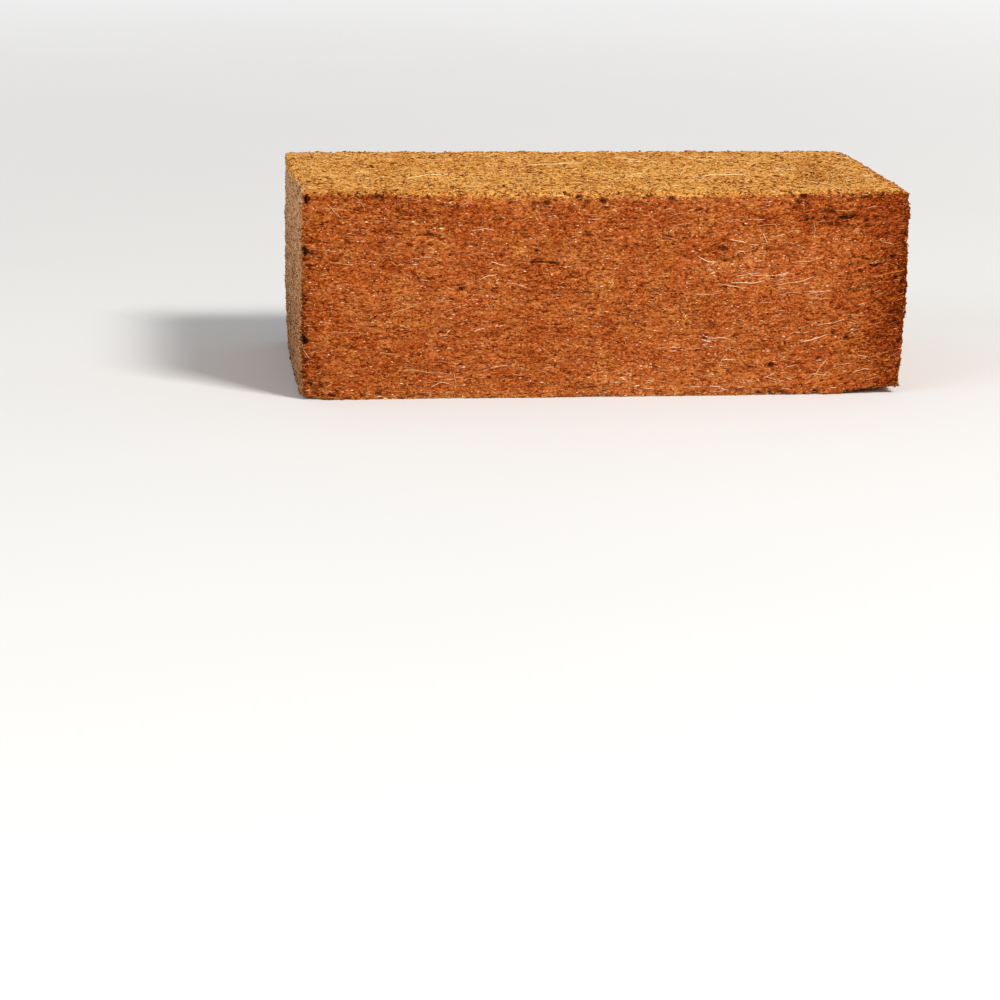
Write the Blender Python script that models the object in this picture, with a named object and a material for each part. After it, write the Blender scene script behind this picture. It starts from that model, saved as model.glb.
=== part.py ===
"""A pressed bale of coconut coir: one brick of pith and short fibre.

The bale is a single body. Two flat platens pressed its top and its underside, so those two
are plane. The four sides were held by a mould and sprang back a little as the brick came out:
they are slightly crowned, they show the bedding of the fibre as low horizontal ledges, and
they have opened in places into thin bedding cracks. Edges and corners are worn and crumbled.

Units are metres, +Z is up, and the origin is at the middle of the underside.
+X runs along the length, and the long side that looks towards -Y is the front.
"""

import math
from dataclasses import dataclass
from enum import Enum

import bmesh
import bpy
from mathutils import Matrix, Vector, noise

# Driving dimensions
LENGTH = 0.300
DEPTH = 0.155
HEIGHT = 0.102

# How the sides stand and how the edges are worn
SIDE_CROWN = 0.0003
EDGE_RADIUS = 0.0013
UPRIGHT_EDGE_RADIUS = 0.0016
WEAR_REACH = 0.012
CRUMBLE_DEPTH = 0.0009
CRUMBLE_SCALE = 0.0085
CRUMBLE_MEAN = 0.25
CRUMBLE_FALL = 1.5
CRUMBLE_OCTAVES = 2
UNDERSIDE_RIM_LIFT = 0.0008
LEDGE_RELIEF = 0.00036
LEDGE_LENGTH = 0.055
LEDGE_PITCH = 0.0105
LUMP_RELIEF = 0.00030
LUMP_SCALE = 0.024
NOISE_ORIGIN = Vector((3.1, 7.4, 1.9))

# Edge loops of the cage: close together by each edge, even across the rest of a face
LOOPS_BY_AN_EDGE = (0.0009, 0.0026, 0.0065, 0.0120)
EVEN_LOOP_SPACING = 0.0125

# The cutters' shapes: a pit is wider than high, and no blade or ball is quite even
PIT_WIDTH = 1.3
PIT_HEIGHT = 0.85
CRACK_UNEVENNESS = 0.0007
PIT_UNEVENNESS = 0.0006
UNEVENNESS_SCALE = 0.012

# The brick's colour: pressed coir, matt
COIR_COLOUR = (0.42, 0.125, 0.030, 1.0)
COIR_ROUGHNESS = 0.95

COLLECTION_NAME = "coconut_coir_bale"
BALE_NAME = "coir_bale"
CUTTER_NAME = "crack_and_pit_cutter"


class Side(Enum):
    """The four pressed-out sides, each by the direction it faces."""

    FRONT = (0, -1)
    BACK = (0, 1)
    LEFT = (-1, 0)
    RIGHT = (1, 0)


@dataclass
class Crack:
    """A bedding crack in a side.

    along is measured from the side's middle, in +X on the front and back and in +Y on the ends.
    tilt is in degrees, and a positive one makes the crack rise along that way.
    """

    side: Side
    along: float
    height: float
    length: float
    opening: float = 0.0021
    depth: float = 0.0060
    tilt: float = 0.0


@dataclass
class Pit:
    """A small hole where a crumb of pith has dropped out of a side or off an edge."""

    side: Side
    along: float
    height: float
    radius: float
    depth: float = 0.0035


@dataclass
class Chip:
    """A corner or a stretch of edge that is rubbed away.

    at is where it is as shares: -1 to 1 along the length and the depth, and 0 to 1 up the height.
    lean is how far it leads sideways for each unit that it leads up or down.
    """

    at: tuple
    reach: float
    depth: float
    lean: float = 1.0

    def place(self):
        """The chip's middle, on the brick's sharp outline."""
        return Vector((self.at[0] * LENGTH / 2, self.at[1] * DEPTH / 2, self.at[2] * HEIGHT))

    def inward(self):
        """The direction that leads from the chip into the brick, away from the edge it is on."""
        from_left_or_right = -int(self.at[0]) * self.lean
        from_front_or_back = -int(self.at[1]) * self.lean
        from_below_or_above = 1 - 2 * self.at[2]
        return Vector((from_left_or_right, from_front_or_back, from_below_or_above)).normalized()


CRACKS = (
    Crack(Side.FRONT, -0.1150, 0.0822, 0.034, opening=0.0013, depth=0.0028),
    Crack(Side.FRONT, -0.0880, 0.0817, 0.013, opening=0.0019, depth=0.0042),
    Crack(Side.FRONT, -0.0375, 0.0807, 0.012, opening=0.0016, depth=0.0038),
    Crack(Side.FRONT, -0.0110, 0.0818, 0.013, opening=0.0016, depth=0.0038),
    Crack(Side.FRONT, -0.0285, 0.0675, 0.020, opening=0.0015, depth=0.0034),
    Crack(Side.FRONT, -0.0150, 0.0608, 0.008, opening=0.0015, depth=0.0030),
    Crack(Side.FRONT, 0.1005, 0.0880, 0.017, opening=0.0016, depth=0.0038, tilt=3.0),
    Crack(Side.FRONT, 0.1210, 0.0903, 0.020, opening=0.0018, depth=0.0046, tilt=4.0),
    Crack(Side.FRONT, 0.1330, 0.0655, 0.020, opening=0.0015, depth=0.0036, tilt=9.0),
    Crack(Side.FRONT, 0.0705, 0.0600, 0.014, opening=0.0014, depth=0.0028, tilt=-8.0),
    Crack(Side.BACK, -0.0980, 0.0860, 0.052, opening=0.0026, depth=0.0080, tilt=-2.0),
    Crack(Side.BACK, -0.0420, 0.0810, 0.044, opening=0.0024, depth=0.0070, tilt=-1.0),
    Crack(Side.BACK, 0.0260, 0.0640, 0.034, depth=0.0050, tilt=1.0),
    Crack(Side.BACK, 0.0920, 0.0770, 0.040, opening=0.0024, depth=0.0060, tilt=2.0),
    Crack(Side.BACK, 0.0560, 0.0290, 0.030, depth=0.0050, tilt=-2.0),
    Crack(Side.BACK, -0.0900, 0.0350, 0.034, depth=0.0050, tilt=1.5),
    Crack(Side.RIGHT, -0.0300, 0.0850, 0.046, opening=0.0026, depth=0.0080, tilt=2.5),
    Crack(Side.RIGHT, 0.0330, 0.0760, 0.034, opening=0.0024, depth=0.0060, tilt=-1.5),
    Crack(Side.RIGHT, -0.0080, 0.0480, 0.026, depth=0.0045, tilt=1.0),
    Crack(Side.RIGHT, 0.0260, 0.0240, 0.030, depth=0.0050, tilt=-2.0),
    Crack(Side.LEFT, -0.0250, 0.0790, 0.030, depth=0.0050, tilt=-1.0),
    Crack(Side.LEFT, 0.0340, 0.0590, 0.028, depth=0.0050, tilt=1.5),
    Crack(Side.LEFT, 0.0080, 0.0300, 0.026, depth=0.0045, tilt=-1.0),
)

PITS = (
    Pit(Side.FRONT, -0.1480, 0.0990, 0.0025, depth=0.0034),
    Pit(Side.FRONT, -0.1486, 0.0736, 0.0025, depth=0.0036),
    Pit(Side.FRONT, -0.1488, 0.0302, 0.0022, depth=0.0032),
    Pit(Side.FRONT, -0.1124, 0.1014, 0.0022, depth=0.0030),
    Pit(Side.FRONT, -0.0298, 0.0966, 0.0016, depth=0.0024),
    Pit(Side.FRONT, -0.0142, 0.0994, 0.0017, depth=0.0024),
    Pit(Side.FRONT, 0.0971, 0.0996, 0.0018, depth=0.0024),
    Pit(Side.FRONT, -0.0720, 0.0549, 0.0014, depth=0.0022),
    Pit(Side.FRONT, 0.0574, 0.0740, 0.0021, depth=0.0030),
    Pit(Side.FRONT, 0.0820, 0.0703, 0.0014, depth=0.0020),
    Pit(Side.BACK, 0.1150, 0.1005, 0.0034, depth=0.0045),
    Pit(Side.BACK, -0.0100, 0.0430, 0.0028),
    Pit(Side.BACK, -0.1200, 0.0620, 0.0030),
    Pit(Side.RIGHT, 0.0520, 0.0560, 0.0030),
    Pit(Side.RIGHT, -0.0560, 0.0300, 0.0026),
    Pit(Side.LEFT, 0.0500, 0.0860, 0.0030),
    Pit(Side.LEFT, -0.0420, 0.0420, 0.0024),
)

CHIPS = (
    Chip((-1, -1, 0), 0.011, 0.0024, lean=0.6),
    Chip((1, -1, 0), 0.034, 0.0038, lean=0.25),
    Chip((1, 1, 0), 0.020, 0.0036),
    Chip((-1, 1, 0), 0.015, 0.0026),
    Chip((1, 1, 1), 0.010, 0.0006),
    Chip((-1, 1, 1), 0.010, 0.0006),
    Chip((-0.45, 1, 0), 0.020, 0.0022),
    Chip((0.27, 1, 0), 0.016, 0.0020),
    Chip((1, 0.2, 0), 0.016, 0.0020),
)


def remove_everything():
    """Empty the scene."""
    for old in list(bpy.data.objects):
        bpy.data.objects.remove(old, do_unlink=True)


def new_collection(name):
    """A collection of that name, linked to the scene."""
    collection = bpy.data.collections.new(name)
    bpy.context.scene.collection.children.link(collection)
    return collection


def coir_material():
    """Matt brown coir."""
    material = bpy.data.materials.new("pressed_coir")
    material.use_nodes = True
    shader = material.node_tree.nodes["Principled BSDF"]
    shader.inputs["Base Color"].default_value = COIR_COLOUR
    shader.inputs["Roughness"].default_value = COIR_ROUGHNESS
    shader.inputs["Metallic"].default_value = 0.0
    return material


def loop_places(extent):
    """Where the cage is cut across one axis, as distances from its middle."""
    half = extent / 2
    by_edge = [half - offset for offset in LOOPS_BY_AN_EDGE]
    inner = by_edge[-1]
    strips = math.ceil(2 * inner / EVEN_LOOP_SPACING)
    between = [-inner + 2 * inner * i / strips for i in range(1, strips)]
    return sorted([-place for place in by_edge] + between + by_edge)


def brick_cage():
    """A box of the bale's size, cut into a grid that is finer along its edges."""
    cage = bmesh.new()
    size = (LENGTH - 2 * SIDE_CROWN, DEPTH - 2 * SIDE_CROWN, HEIGHT)
    bmesh.ops.create_cube(cage, size=1.0, matrix=Matrix.Diagonal((*size, 1.0)))
    for axis in range(3):
        across = Vector([1.0 if i == axis else 0.0 for i in range(3)])
        for place in loop_places(size[axis]):
            everything = cage.verts[:] + cage.edges[:] + cage.faces[:]
            bmesh.ops.bisect_plane(cage, geom=everything, plane_co=across * place, plane_no=across)
    bmesh.ops.translate(cage, verts=cage.verts, vec=(0, 0, HEIGHT / 2))
    return cage


def edge_wear(place):
    """How much a point is worn for being near an edge: 0 on the open faces, 1 at an edge."""
    gaps = sorted((
        LENGTH / 2 - abs(place.x),
        DEPTH / 2 - abs(place.y),
        min(place.z, HEIGHT - place.z),
    ))
    return max(0.0, 1.0 - max(gaps[1], 0.0) / WEAR_REACH)


def rounded(place):
    """The point, and the outward direction there, on the brick with its edges rounded."""
    half = Vector((LENGTH / 2 - SIDE_CROWN, DEPTH / 2 - SIDE_CROWN, HEIGHT / 2))
    middle = Vector((0, 0, HEIGHT / 2))
    offset = place - middle
    by_an_upright = abs(offset.z) < half.z - EDGE_RADIUS
    radius = UPRIGHT_EDGE_RADIUS if by_an_upright else EDGE_RADIUS
    inner = Vector([math.copysign(min(abs(o), h - radius), o) for o, h in zip(offset, half)])
    outward = offset - inner
    outward.normalize()
    return middle + inner + outward * radius, outward


def crown(place):
    """How far a side stands out at this height."""
    share = 2 * place.z / HEIGHT - 1
    return SIDE_CROWN * (1 - share * share)


def side_relief(place):
    """Bedding ledges and low lumps, as a height above the side."""
    seed = NOISE_ORIGIN
    bedding = Vector((place.x / LEDGE_LENGTH, place.y / LEDGE_LENGTH, place.z / LEDGE_PITCH))
    return (LEDGE_RELIEF * noise.noise(bedding + seed)
            + LUMP_RELIEF * noise.noise(place / LUMP_SCALE + seed))


def crumble(place):
    """How deep the loose rim has crumbled at a point."""
    uneven = noise.fractal(place / CRUMBLE_SCALE + NOISE_ORIGIN, 1.0, 2.0, CRUMBLE_OCTAVES)
    return CRUMBLE_DEPTH * max(0.0, CRUMBLE_MEAN + uneven) * edge_wear(place) ** CRUMBLE_FALL


def chipped(place):
    """How far, and which way, the chips have rubbed a point inwards."""
    push = Vector((0, 0, 0))
    for chip in CHIPS:
        share = 1 - (place - chip.place()).length / chip.reach
        if share > 0:
            push += chip.inward() * chip.depth * math.sin(share * math.pi / 2)
    return push


def wear_the_cage(cage):
    """Move the cage's points onto the worn surface, and keep platen faces plane."""
    for vert in cage.verts:
        start = vert.co.copy()
        place, outward = rounded(start)
        sideways = Vector((outward.x, outward.y, 0.0))
        place += sideways * (crown(start) + side_relief(start))
        place += chipped(start) - outward * crumble(start)
        if start.z <= 0:
            place.z += UNDERSIDE_RIM_LIFT * edge_wear(start)
        place.z = min(max(place.z, 0.0), HEIGHT)
        vert.co = place


def side_matrix(side, along, height):
    """Places a cutter on a side: local X runs along the side, and local Y points outwards."""
    out_x, out_y = side.value
    outward = Vector((out_x, out_y, 0))
    along_axis = Vector((1, 0, 0)) if out_y else Vector((0, 1, 0))
    half = (DEPTH if out_y else LENGTH) / 2
    place = outward * half + along_axis * along + Vector((0, 0, height))
    up = Vector((0, 0, 1))
    return Matrix.Translation(place) @ Matrix((along_axis, outward, up)).transposed().to_4x4()


def add_cutter_lens(cutters, matrix, half_sizes, unevenness):
    """Add a lens-shaped blade or ball whose points are pushed about a little."""
    matrix = matrix @ Matrix.Diagonal((*half_sizes, 1.0))
    made = bmesh.ops.create_icosphere(cutters, subdivisions=2, radius=1.0, matrix=matrix)
    for vert in made["verts"]:
        vert.co += noise.noise_vector(vert.co / UNEVENNESS_SCALE + NOISE_ORIGIN) * unevenness


def cutter_object(collection):
    """One object that holds every crack's blade and every pit's ball."""
    cutters = bmesh.new()
    for crack in CRACKS:
        tilt = Matrix.Rotation(math.radians(-crack.tilt), 4, "Y")
        matrix = side_matrix(crack.side, crack.along, crack.height) @ tilt
        blade = (crack.length / 2, crack.depth, crack.opening / 2)
        add_cutter_lens(cutters, matrix, blade, CRACK_UNEVENNESS)
    for pit in PITS:
        matrix = side_matrix(pit.side, pit.along, pit.height)
        ball = (pit.radius * PIT_WIDTH, pit.depth, pit.radius * PIT_HEIGHT)
        add_cutter_lens(cutters, matrix, ball, PIT_UNEVENNESS)
    bmesh.ops.recalc_face_normals(cutters, faces=cutters.faces)
    mesh = bpy.data.meshes.new(CUTTER_NAME)
    cutters.to_mesh(mesh)
    cutters.free()
    cutter = bpy.data.objects.new(CUTTER_NAME, mesh)
    cutter.hide_render = True
    cutter.display_type = "WIRE"
    collection.objects.link(cutter)
    return cutter


def fit_to_size(cage):
    """Centre the worn brick over the origin, with the stated length and depth over its crowns."""
    for axis, extent in enumerate((LENGTH, DEPTH)):
        low = min(v.co[axis] for v in cage.verts)
        high = max(v.co[axis] for v in cage.verts)
        for vert in cage.verts:
            vert.co[axis] = (vert.co[axis] - (low + high) / 2) * extent / (high - low)


def bale_object(collection, cutter):
    """The bale itself: the worn brick, less its cracks and pits."""
    cage = brick_cage()
    wear_the_cage(cage)
    fit_to_size(cage)
    bmesh.ops.recalc_face_normals(cage, faces=cage.faces)
    bmesh.ops.triangulate(cage, faces=cage.faces)
    mesh = bpy.data.meshes.new(BALE_NAME)
    cage.to_mesh(mesh)
    cage.free()
    mesh.materials.append(coir_material())
    bale = bpy.data.objects.new(BALE_NAME, mesh)
    collection.objects.link(bale)
    cut = bale.modifiers.new("cracks and pits", "BOOLEAN")
    cut.operation = "DIFFERENCE"
    cut.object = cutter
    cut.solver = "EXACT"
    cut.use_self = True
    return bale


def main():
    """Build the bale."""
    remove_everything()
    parts = new_collection(COLLECTION_NAME)
    cutter_collection = new_collection("cutters")
    bale_object(parts, cutter_object(cutter_collection))


main()
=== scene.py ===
"""A pressed bale of coconut coir, dressed with its pith, its fibres and their finishes.

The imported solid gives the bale's size and place. Here its surface is made fine: the brick gets
its bedding, cracks and crumbled rims, and is covered with flakes of pith and with fibres that lie
along the bedding on the four sides and every way on the two pressed faces.

Everything is in metres, +Z up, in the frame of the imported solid, and the front looks towards -Y.
Where millimetres are easier to read, MM turns them to metres.
"""

import logging
import math
from dataclasses import dataclass, field
from enum import Enum

import bmesh
import bpy
import numpy as np
from mathutils import Matrix, Vector, noise
from mathutils.bvhtree import BVHTree


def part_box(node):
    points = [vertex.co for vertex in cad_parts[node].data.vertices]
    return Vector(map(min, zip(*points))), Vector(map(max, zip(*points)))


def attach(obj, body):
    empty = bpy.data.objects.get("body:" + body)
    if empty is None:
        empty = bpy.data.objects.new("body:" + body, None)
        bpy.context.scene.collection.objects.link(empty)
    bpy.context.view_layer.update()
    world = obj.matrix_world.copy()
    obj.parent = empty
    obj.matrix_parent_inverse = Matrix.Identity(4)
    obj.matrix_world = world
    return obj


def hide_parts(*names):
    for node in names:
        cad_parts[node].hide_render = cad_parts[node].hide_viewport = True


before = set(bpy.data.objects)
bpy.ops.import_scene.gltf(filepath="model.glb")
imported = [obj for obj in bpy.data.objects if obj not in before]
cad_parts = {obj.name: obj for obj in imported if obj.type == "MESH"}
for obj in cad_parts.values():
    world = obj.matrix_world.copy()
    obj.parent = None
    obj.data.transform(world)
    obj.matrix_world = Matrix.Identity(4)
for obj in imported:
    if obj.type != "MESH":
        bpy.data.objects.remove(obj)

LOG = logging.getLogger("coir_bale")
BODY = "root"
MM = 0.001
UP = Vector((0.0, 0.0, 1.0))

LOWEST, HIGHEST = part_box("coir_bale")
_, DEPTH, HEIGHT = HIGHEST - LOWEST


class Side(Enum):
    """The bale's six sides, each by the direction it faces."""

    FRONT = (0, -1, 0)
    BACK = (0, 1, 0)
    LEFT = (-1, 0, 0)
    RIGHT = (1, 0, 0)
    TOP = (0, 0, 1)
    UNDER = (0, 0, -1)

    @property
    def outward(self) -> Vector:
        """The direction that the side faces."""
        return Vector(self.value)

    @property
    def along(self) -> Vector:
        """The level direction across the side: +Y on the two ends, and +X on the others."""
        return Vector((0, 1, 0)) if self.value[0] else Vector((1, 0, 0))

    @property
    def across(self) -> Vector:
        """The other direction across the side: +Y on the pressed faces, and up on the others."""
        return Vector((0, 1, 0)) if self.pressed else UP.copy()

    @property
    def pressed(self) -> bool:
        """Whether a platen pressed this side flat."""
        return bool(self.value[2])

    @property
    def lengthwise(self) -> bool:
        """Whether this is the front or the back, on which the bedding's rise shows."""
        return bool(self.value[1])

    @property
    def middle(self) -> Vector:
        """The middle of the side."""
        half = (HIGHEST - LOWEST) / 2
        return (LOWEST + HIGHEST) / 2 + Vector([n * h for n, h in zip(self.value, half)])

    @property
    def half_span(self) -> tuple[float, float]:
        """Half the side's size, along it and across it."""
        size = HIGHEST - LOWEST
        return abs(self.along.dot(size)) / 2, abs(self.across.dot(size)) / 2

    def place(self, along: float, across: float) -> Vector:
        """Find a place on the side's plane.

        Args:
            along: distance along the side from its middle, in millimetres.
            across: distance across it, from the middle of a pressed face and from the
                underside on the others, in millimetres.

        Returns:
            The place in the bale's frame.
        """
        foot = self.middle
        if not self.pressed:
            foot.z = LOWEST.z
        return foot + self.along * (along * MM) + self.across * (across * MM)


# The bedding is level as far as this place, and from there it rises with the square of the way
BEDDING_STARTS_TO_RISE = 0.055
BEDDING_RISE = 1.15

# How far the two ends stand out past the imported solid, in millimetres, and over which stretch
STANDS_OUT = {Side.LEFT: 0.8, Side.RIGHT: 1.4}
END_STRETCH = 12 * MM

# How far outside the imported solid's box anything may reach, towards minus and towards plus
PROUD_BELOW = np.array((3.6, 2.0, 0.0)) * MM
PROUD_ABOVE = np.array((4.2, 2.0, 2.4)) * MM


def bedding_rise(x: float) -> float:
    """How far the bedding has risen at a place along the bale, towards its right end."""
    return BEDDING_RISE * max(0.0, x - BEDDING_STARTS_TO_RISE) ** 2


def bedding_slope(x: np.ndarray) -> np.ndarray:
    """The slope of the bedding, in radians, at places along the bale."""
    return np.arctan(2 * BEDDING_RISE * np.maximum(0.0, x - BEDDING_STARTS_TO_RISE))


def side_gap(points: np.ndarray, side: Side) -> np.ndarray:
    """How far places are inside one side's plane."""
    return (np.array(side.middle) - points) @ np.array(side.outward)


def held_in(points: np.ndarray) -> np.ndarray:
    """The places, none further out than the bale's box and what may stand proud of it."""
    return np.clip(points, np.array(LOWEST) - PROUD_BELOW, np.array(HIGHEST) + PROUD_ABOVE)


def stretched_ends(points: np.ndarray) -> np.ndarray:
    """Draw out the last stretch before each end, so that the ends stand out a little.

    Args:
        points: the places, one a row.

    Returns:
        Where the places have come to.
    """
    moved = points.copy()
    for side, amount in STANDS_OUT.items():
        share = np.clip(1 - side_gap(points, side) / END_STRETCH, 0, 1)
        moved += np.array(side.outward) * (share ** 2 * amount * MM)[:, None]
    return moved


def per_side(name: str, sides: np.ndarray) -> np.ndarray:
    """A property of the side that each thing is on, by its name and the numbers of the sides."""
    return np.array([getattr(side, name) for side in Side])[sides]


def listed(kind: type, rows: dict[Side, tuple[tuple, ...]]) -> tuple:
    """Make one thing of a kind for each row of numbers, on the side that the row is under."""
    return tuple(kind(side, *row) for side, there in rows.items() for row in there)


@dataclass(frozen=True)
class Opening:
    """An opening in one of the four sides, with its place in millimetres."""

    side: Side
    along: float
    height: float

    # No opening is looked for further than this from its line, nor deeper, in metres
    HALF_HEIGHT = 0.005
    DEEPEST = 0.009

    def around(self, places: np.ndarray, reach: float, tilt: float = 0.0) -> tuple[np.ndarray, ...]:
        """Find the places near the opening.

        Args:
            places: all places.
            reach: how far the opening goes along its side from its middle, in metres.
            tilt: the angle at which it rises, in degrees.

        Returns:
            The numbers of the near places, and their distances along it, across it and inward.
        """
        offset = places - np.array(self.side.place(self.along, self.height))
        along = offset @ np.array(self.side.along)
        across = offset[:, 2]
        inward = -offset @ np.array(self.side.outward)
        cosine, sine = math.cos(math.radians(tilt)), math.sin(math.radians(tilt))
        turned_along = along * cosine + across * sine
        turned_across = across * cosine - along * sine
        in_line = (np.abs(turned_along) < reach) & (np.abs(turned_across) < self.HALF_HEIGHT)
        near = np.nonzero(in_line & (inward < self.DEEPEST))[0]
        return near, turned_along[near], turned_across[near], inward[near]


@dataclass(frozen=True)
class Crack(Opening):
    """A thin opening along the bedding, in millimetres and degrees, that wavers and pinches."""

    length: float
    depth: float
    opening: float
    tilt: float = 0.0

    # Waves to a metre and how far they lead astray, in millimetres, for its tremble and its bends
    TREMBLE = (260, 0.8)
    BENDS = 75
    BEND_EACH = 20
    MOST_BEND = 2.0
    # Waves to a metre, how wide it is in the middle, how much that varies, and its limits
    PINCHES = 190
    USUAL_WIDTH = 0.8
    PINCH = 1.5
    WIDTHS = (0.15, 1.3)
    SHALLOWER = 0.2
    FALL = 0.5

    def cut(self, places: np.ndarray, outward: np.ndarray) -> tuple[np.ndarray, np.ndarray]:
        """Find how deep the crack cuts.

        Args:
            places: the points' places.
            outward: the outward direction at each, which a crack has no need of.

        Returns:
            The numbers of the points near the crack, and the depth at each.
        """
        half = self.length / 2 * MM
        near, along, across, _ = self.around(places, half, self.tilt)
        bend = min(self.length / self.BEND_EACH, self.MOST_BEND)
        wander = self._wavering(along, self.TREMBLE[0]) * self.TREMBLE[1] * MM
        wander += self._wavering(along, self.BENDS) * bend * MM
        pinch = self.USUAL_WIDTH + self.PINCH * self._wavering(along + 1, self.PINCHES)
        pinch = np.clip(pinch, *self.WIDTHS)
        along_share = along / half
        width = self.opening / 2 * MM * pinch * np.sqrt(np.clip(1 - along_share ** 2, 0, 1)) + 1e-6
        profile = np.clip(1 - np.abs(across - wander) / width, 0, 1) ** self.FALL
        return near, self.depth * MM * profile * np.minimum(pinch + self.SHALLOWER, 1)

    def _wavering(self, along: np.ndarray, fineness: float) -> np.ndarray:
        """A number that wavers about nought along the crack, at places along it."""
        places = (Vector((a * fineness, self.height, self.along)) for a in along)
        return np.array([noise.noise(place) for place in places])


@dataclass(frozen=True)
class Pit(Opening):
    """A ragged hole where a crumb has dropped out, in millimetres."""

    radius: float
    depth: float

    # How far it is looked for in radii, how soon a surface faces its way, how much wider than
    # high it is, how ragged, and how steep
    SEARCH = 1.8
    FACING = 1.6
    WIDTH = 1.25
    RAGGED_FINENESS = 460
    RAGGED = 0.5
    FALL = 0.7

    def cut(self, places: np.ndarray, outward: np.ndarray) -> tuple[np.ndarray, np.ndarray]:
        """Find how deep the pit cuts: only where the surface faces its way, or within a ball.

        Args:
            places: the points' places.
            outward: the outward direction at each.

        Returns:
            The numbers of the points near the pit, and the depth at each.
        """
        near, along, across, inward = self.around(places, self.radius * self.SEARCH * MM)
        facing = np.clip(self.FACING * outward[near] @ np.array(self.side.outward), 0, 1)
        behind = inward * (1 - facing)
        reach = np.sqrt((along / self.WIDTH) ** 2 + across ** 2 + behind ** 2) / (self.radius * MM)
        waver = [noise.noise(Vector(place) * self.RAGGED_FINENESS) for place in places[near]]
        reach = reach * (1 + self.RAGGED * np.array(waver))
        return near, self.depth * MM * np.clip(1 - reach ** 2, 0, 1) ** self.FALL


@dataclass(frozen=True)
class Crumbling:
    """A stretch of a side where many small crumbs have dropped out, in millimetres."""

    side: Side
    along: tuple[float, float]
    height: tuple[float, float]
    count: int
    radius: float
    uneven: float = 0.28
    depth: float = 1.3

    def pits(self, random: np.random.Generator) -> list[Pit]:
        """Make the small pits that the crumbs have left.

        Args:
            random: where chance comes from.

        Returns:
            Pits spread over the stretch.
        """
        pits = []
        for _ in range(self.count):
            radius = self.radius * random.lognormal(0.0, self.uneven)
            along, height = random.uniform(*self.along), random.uniform(*self.height)
            pits.append(Pit(self.side, along, height, radius, self.depth * radius))
        return pits


@dataclass(frozen=True)
class Patch:
    """A broad patch of a side that is lighter or darker: its middle, its half size and by how much.

    Places and sizes are in millimetres, and the tone is a share of the range from darkest to
    palest.
    """

    side: Side
    along: float
    height: float
    half_along: float
    half_height: float
    tone: float


@dataclass(frozen=True)
class Strand:
    """A stray fibre at a place of its own.

    Places are in millimetres along and across its side, bow is how far it curves to its left as a
    share of its length, and proud is how far its middle stands off the surface.
    """

    side: Side
    start: tuple[float, float]
    end: tuple[float, float]
    bow: float
    radius: float
    tint: float
    proud: float = 0.3


# Along, height, length, depth, opening and tilt
CRACKS = listed(Crack, {
    Side.FRONT: (
        (-115.0, 82.2, 34, 1.3, 0.8), (-88.0, 81.7, 13, 1.6, 1.0), (-37.5, 80.7, 12, 2.2, 1.1),
        (-11.0, 81.8, 13, 2.2, 1.1), (-28.5, 67.5, 20, 2.0, 1.0), (-15.0, 60.8, 8, 1.8, 1.0),
        (100.5, 88.0, 17, 2.4, 1.2, 3), (121.0, 90.3, 20, 3.0, 1.4, 4),
        (133.0, 65.5, 20, 2.2, 1.1, 9), (70.5, 60.0, 14, 1.8, 1.0, -8),
    ),
    Side.BACK: (
        (-98.0, 86.0, 58, 4.6, 2.0, -2), (-42.0, 79.0, 30, 3.2, 1.6, -1),
        (22.0, 63.0, 24, 2.6, 1.3, 1), (92.0, 77.0, 44, 3.8, 1.8, 2),
        (56.0, 29.0, 26, 2.6, 1.3, -2), (-84.0, 35.0, 18, 2.4, 1.3, 1.5),
    ),
    Side.RIGHT: (
        (-30.0, 85.0, 46, 4.6, 2.0, 2.5), (33.0, 76.0, 30, 3.4, 1.6, -1.5),
        (-8.0, 48.0, 20, 2.6, 1.4, 1), (26.0, 24.0, 24, 2.8, 1.4, -2),
    ),
    Side.LEFT: (
        (-25.0, 79.0, 26, 2.6, 1.4, -1), (34.0, 59.0, 20, 2.4, 1.3, 1.5),
        (8.0, 30.0, 22, 2.4, 1.3, -1),
    ),
})

# Along, height, radius and depth
PITS = listed(Pit, {
    Side.FRONT: (
        (-148.0, 99.0, 2.3, 2.6), (-148.6, 73.6, 2.3, 2.8), (-148.8, 30.2, 2.0, 2.4),
        (-112.4, 101.8, 2.2, 2.2), (-29.8, 96.6, 1.4, 1.6), (-14.2, 99.4, 1.5, 1.6),
        (97.1, 99.6, 1.6, 1.6), (-72.0, 54.9, 1.2, 0.9),
    ),
    Side.BACK: (
        (115.0, 100.5, 2.9, 3.6), (-10.0, 43.0, 1.7, 1.5), (-120.0, 62.0, 1.9, 1.6),
    ),
    Side.RIGHT: (
        (52.0, 56.0, 1.8, 1.6), (-56.0, 30.0, 1.6, 1.5),
    ),
    Side.LEFT: (
        (50.0, 86.0, 1.7, 1.5), (-42.0, 42.0, 1.5, 1.3),
    ),
})

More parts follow.
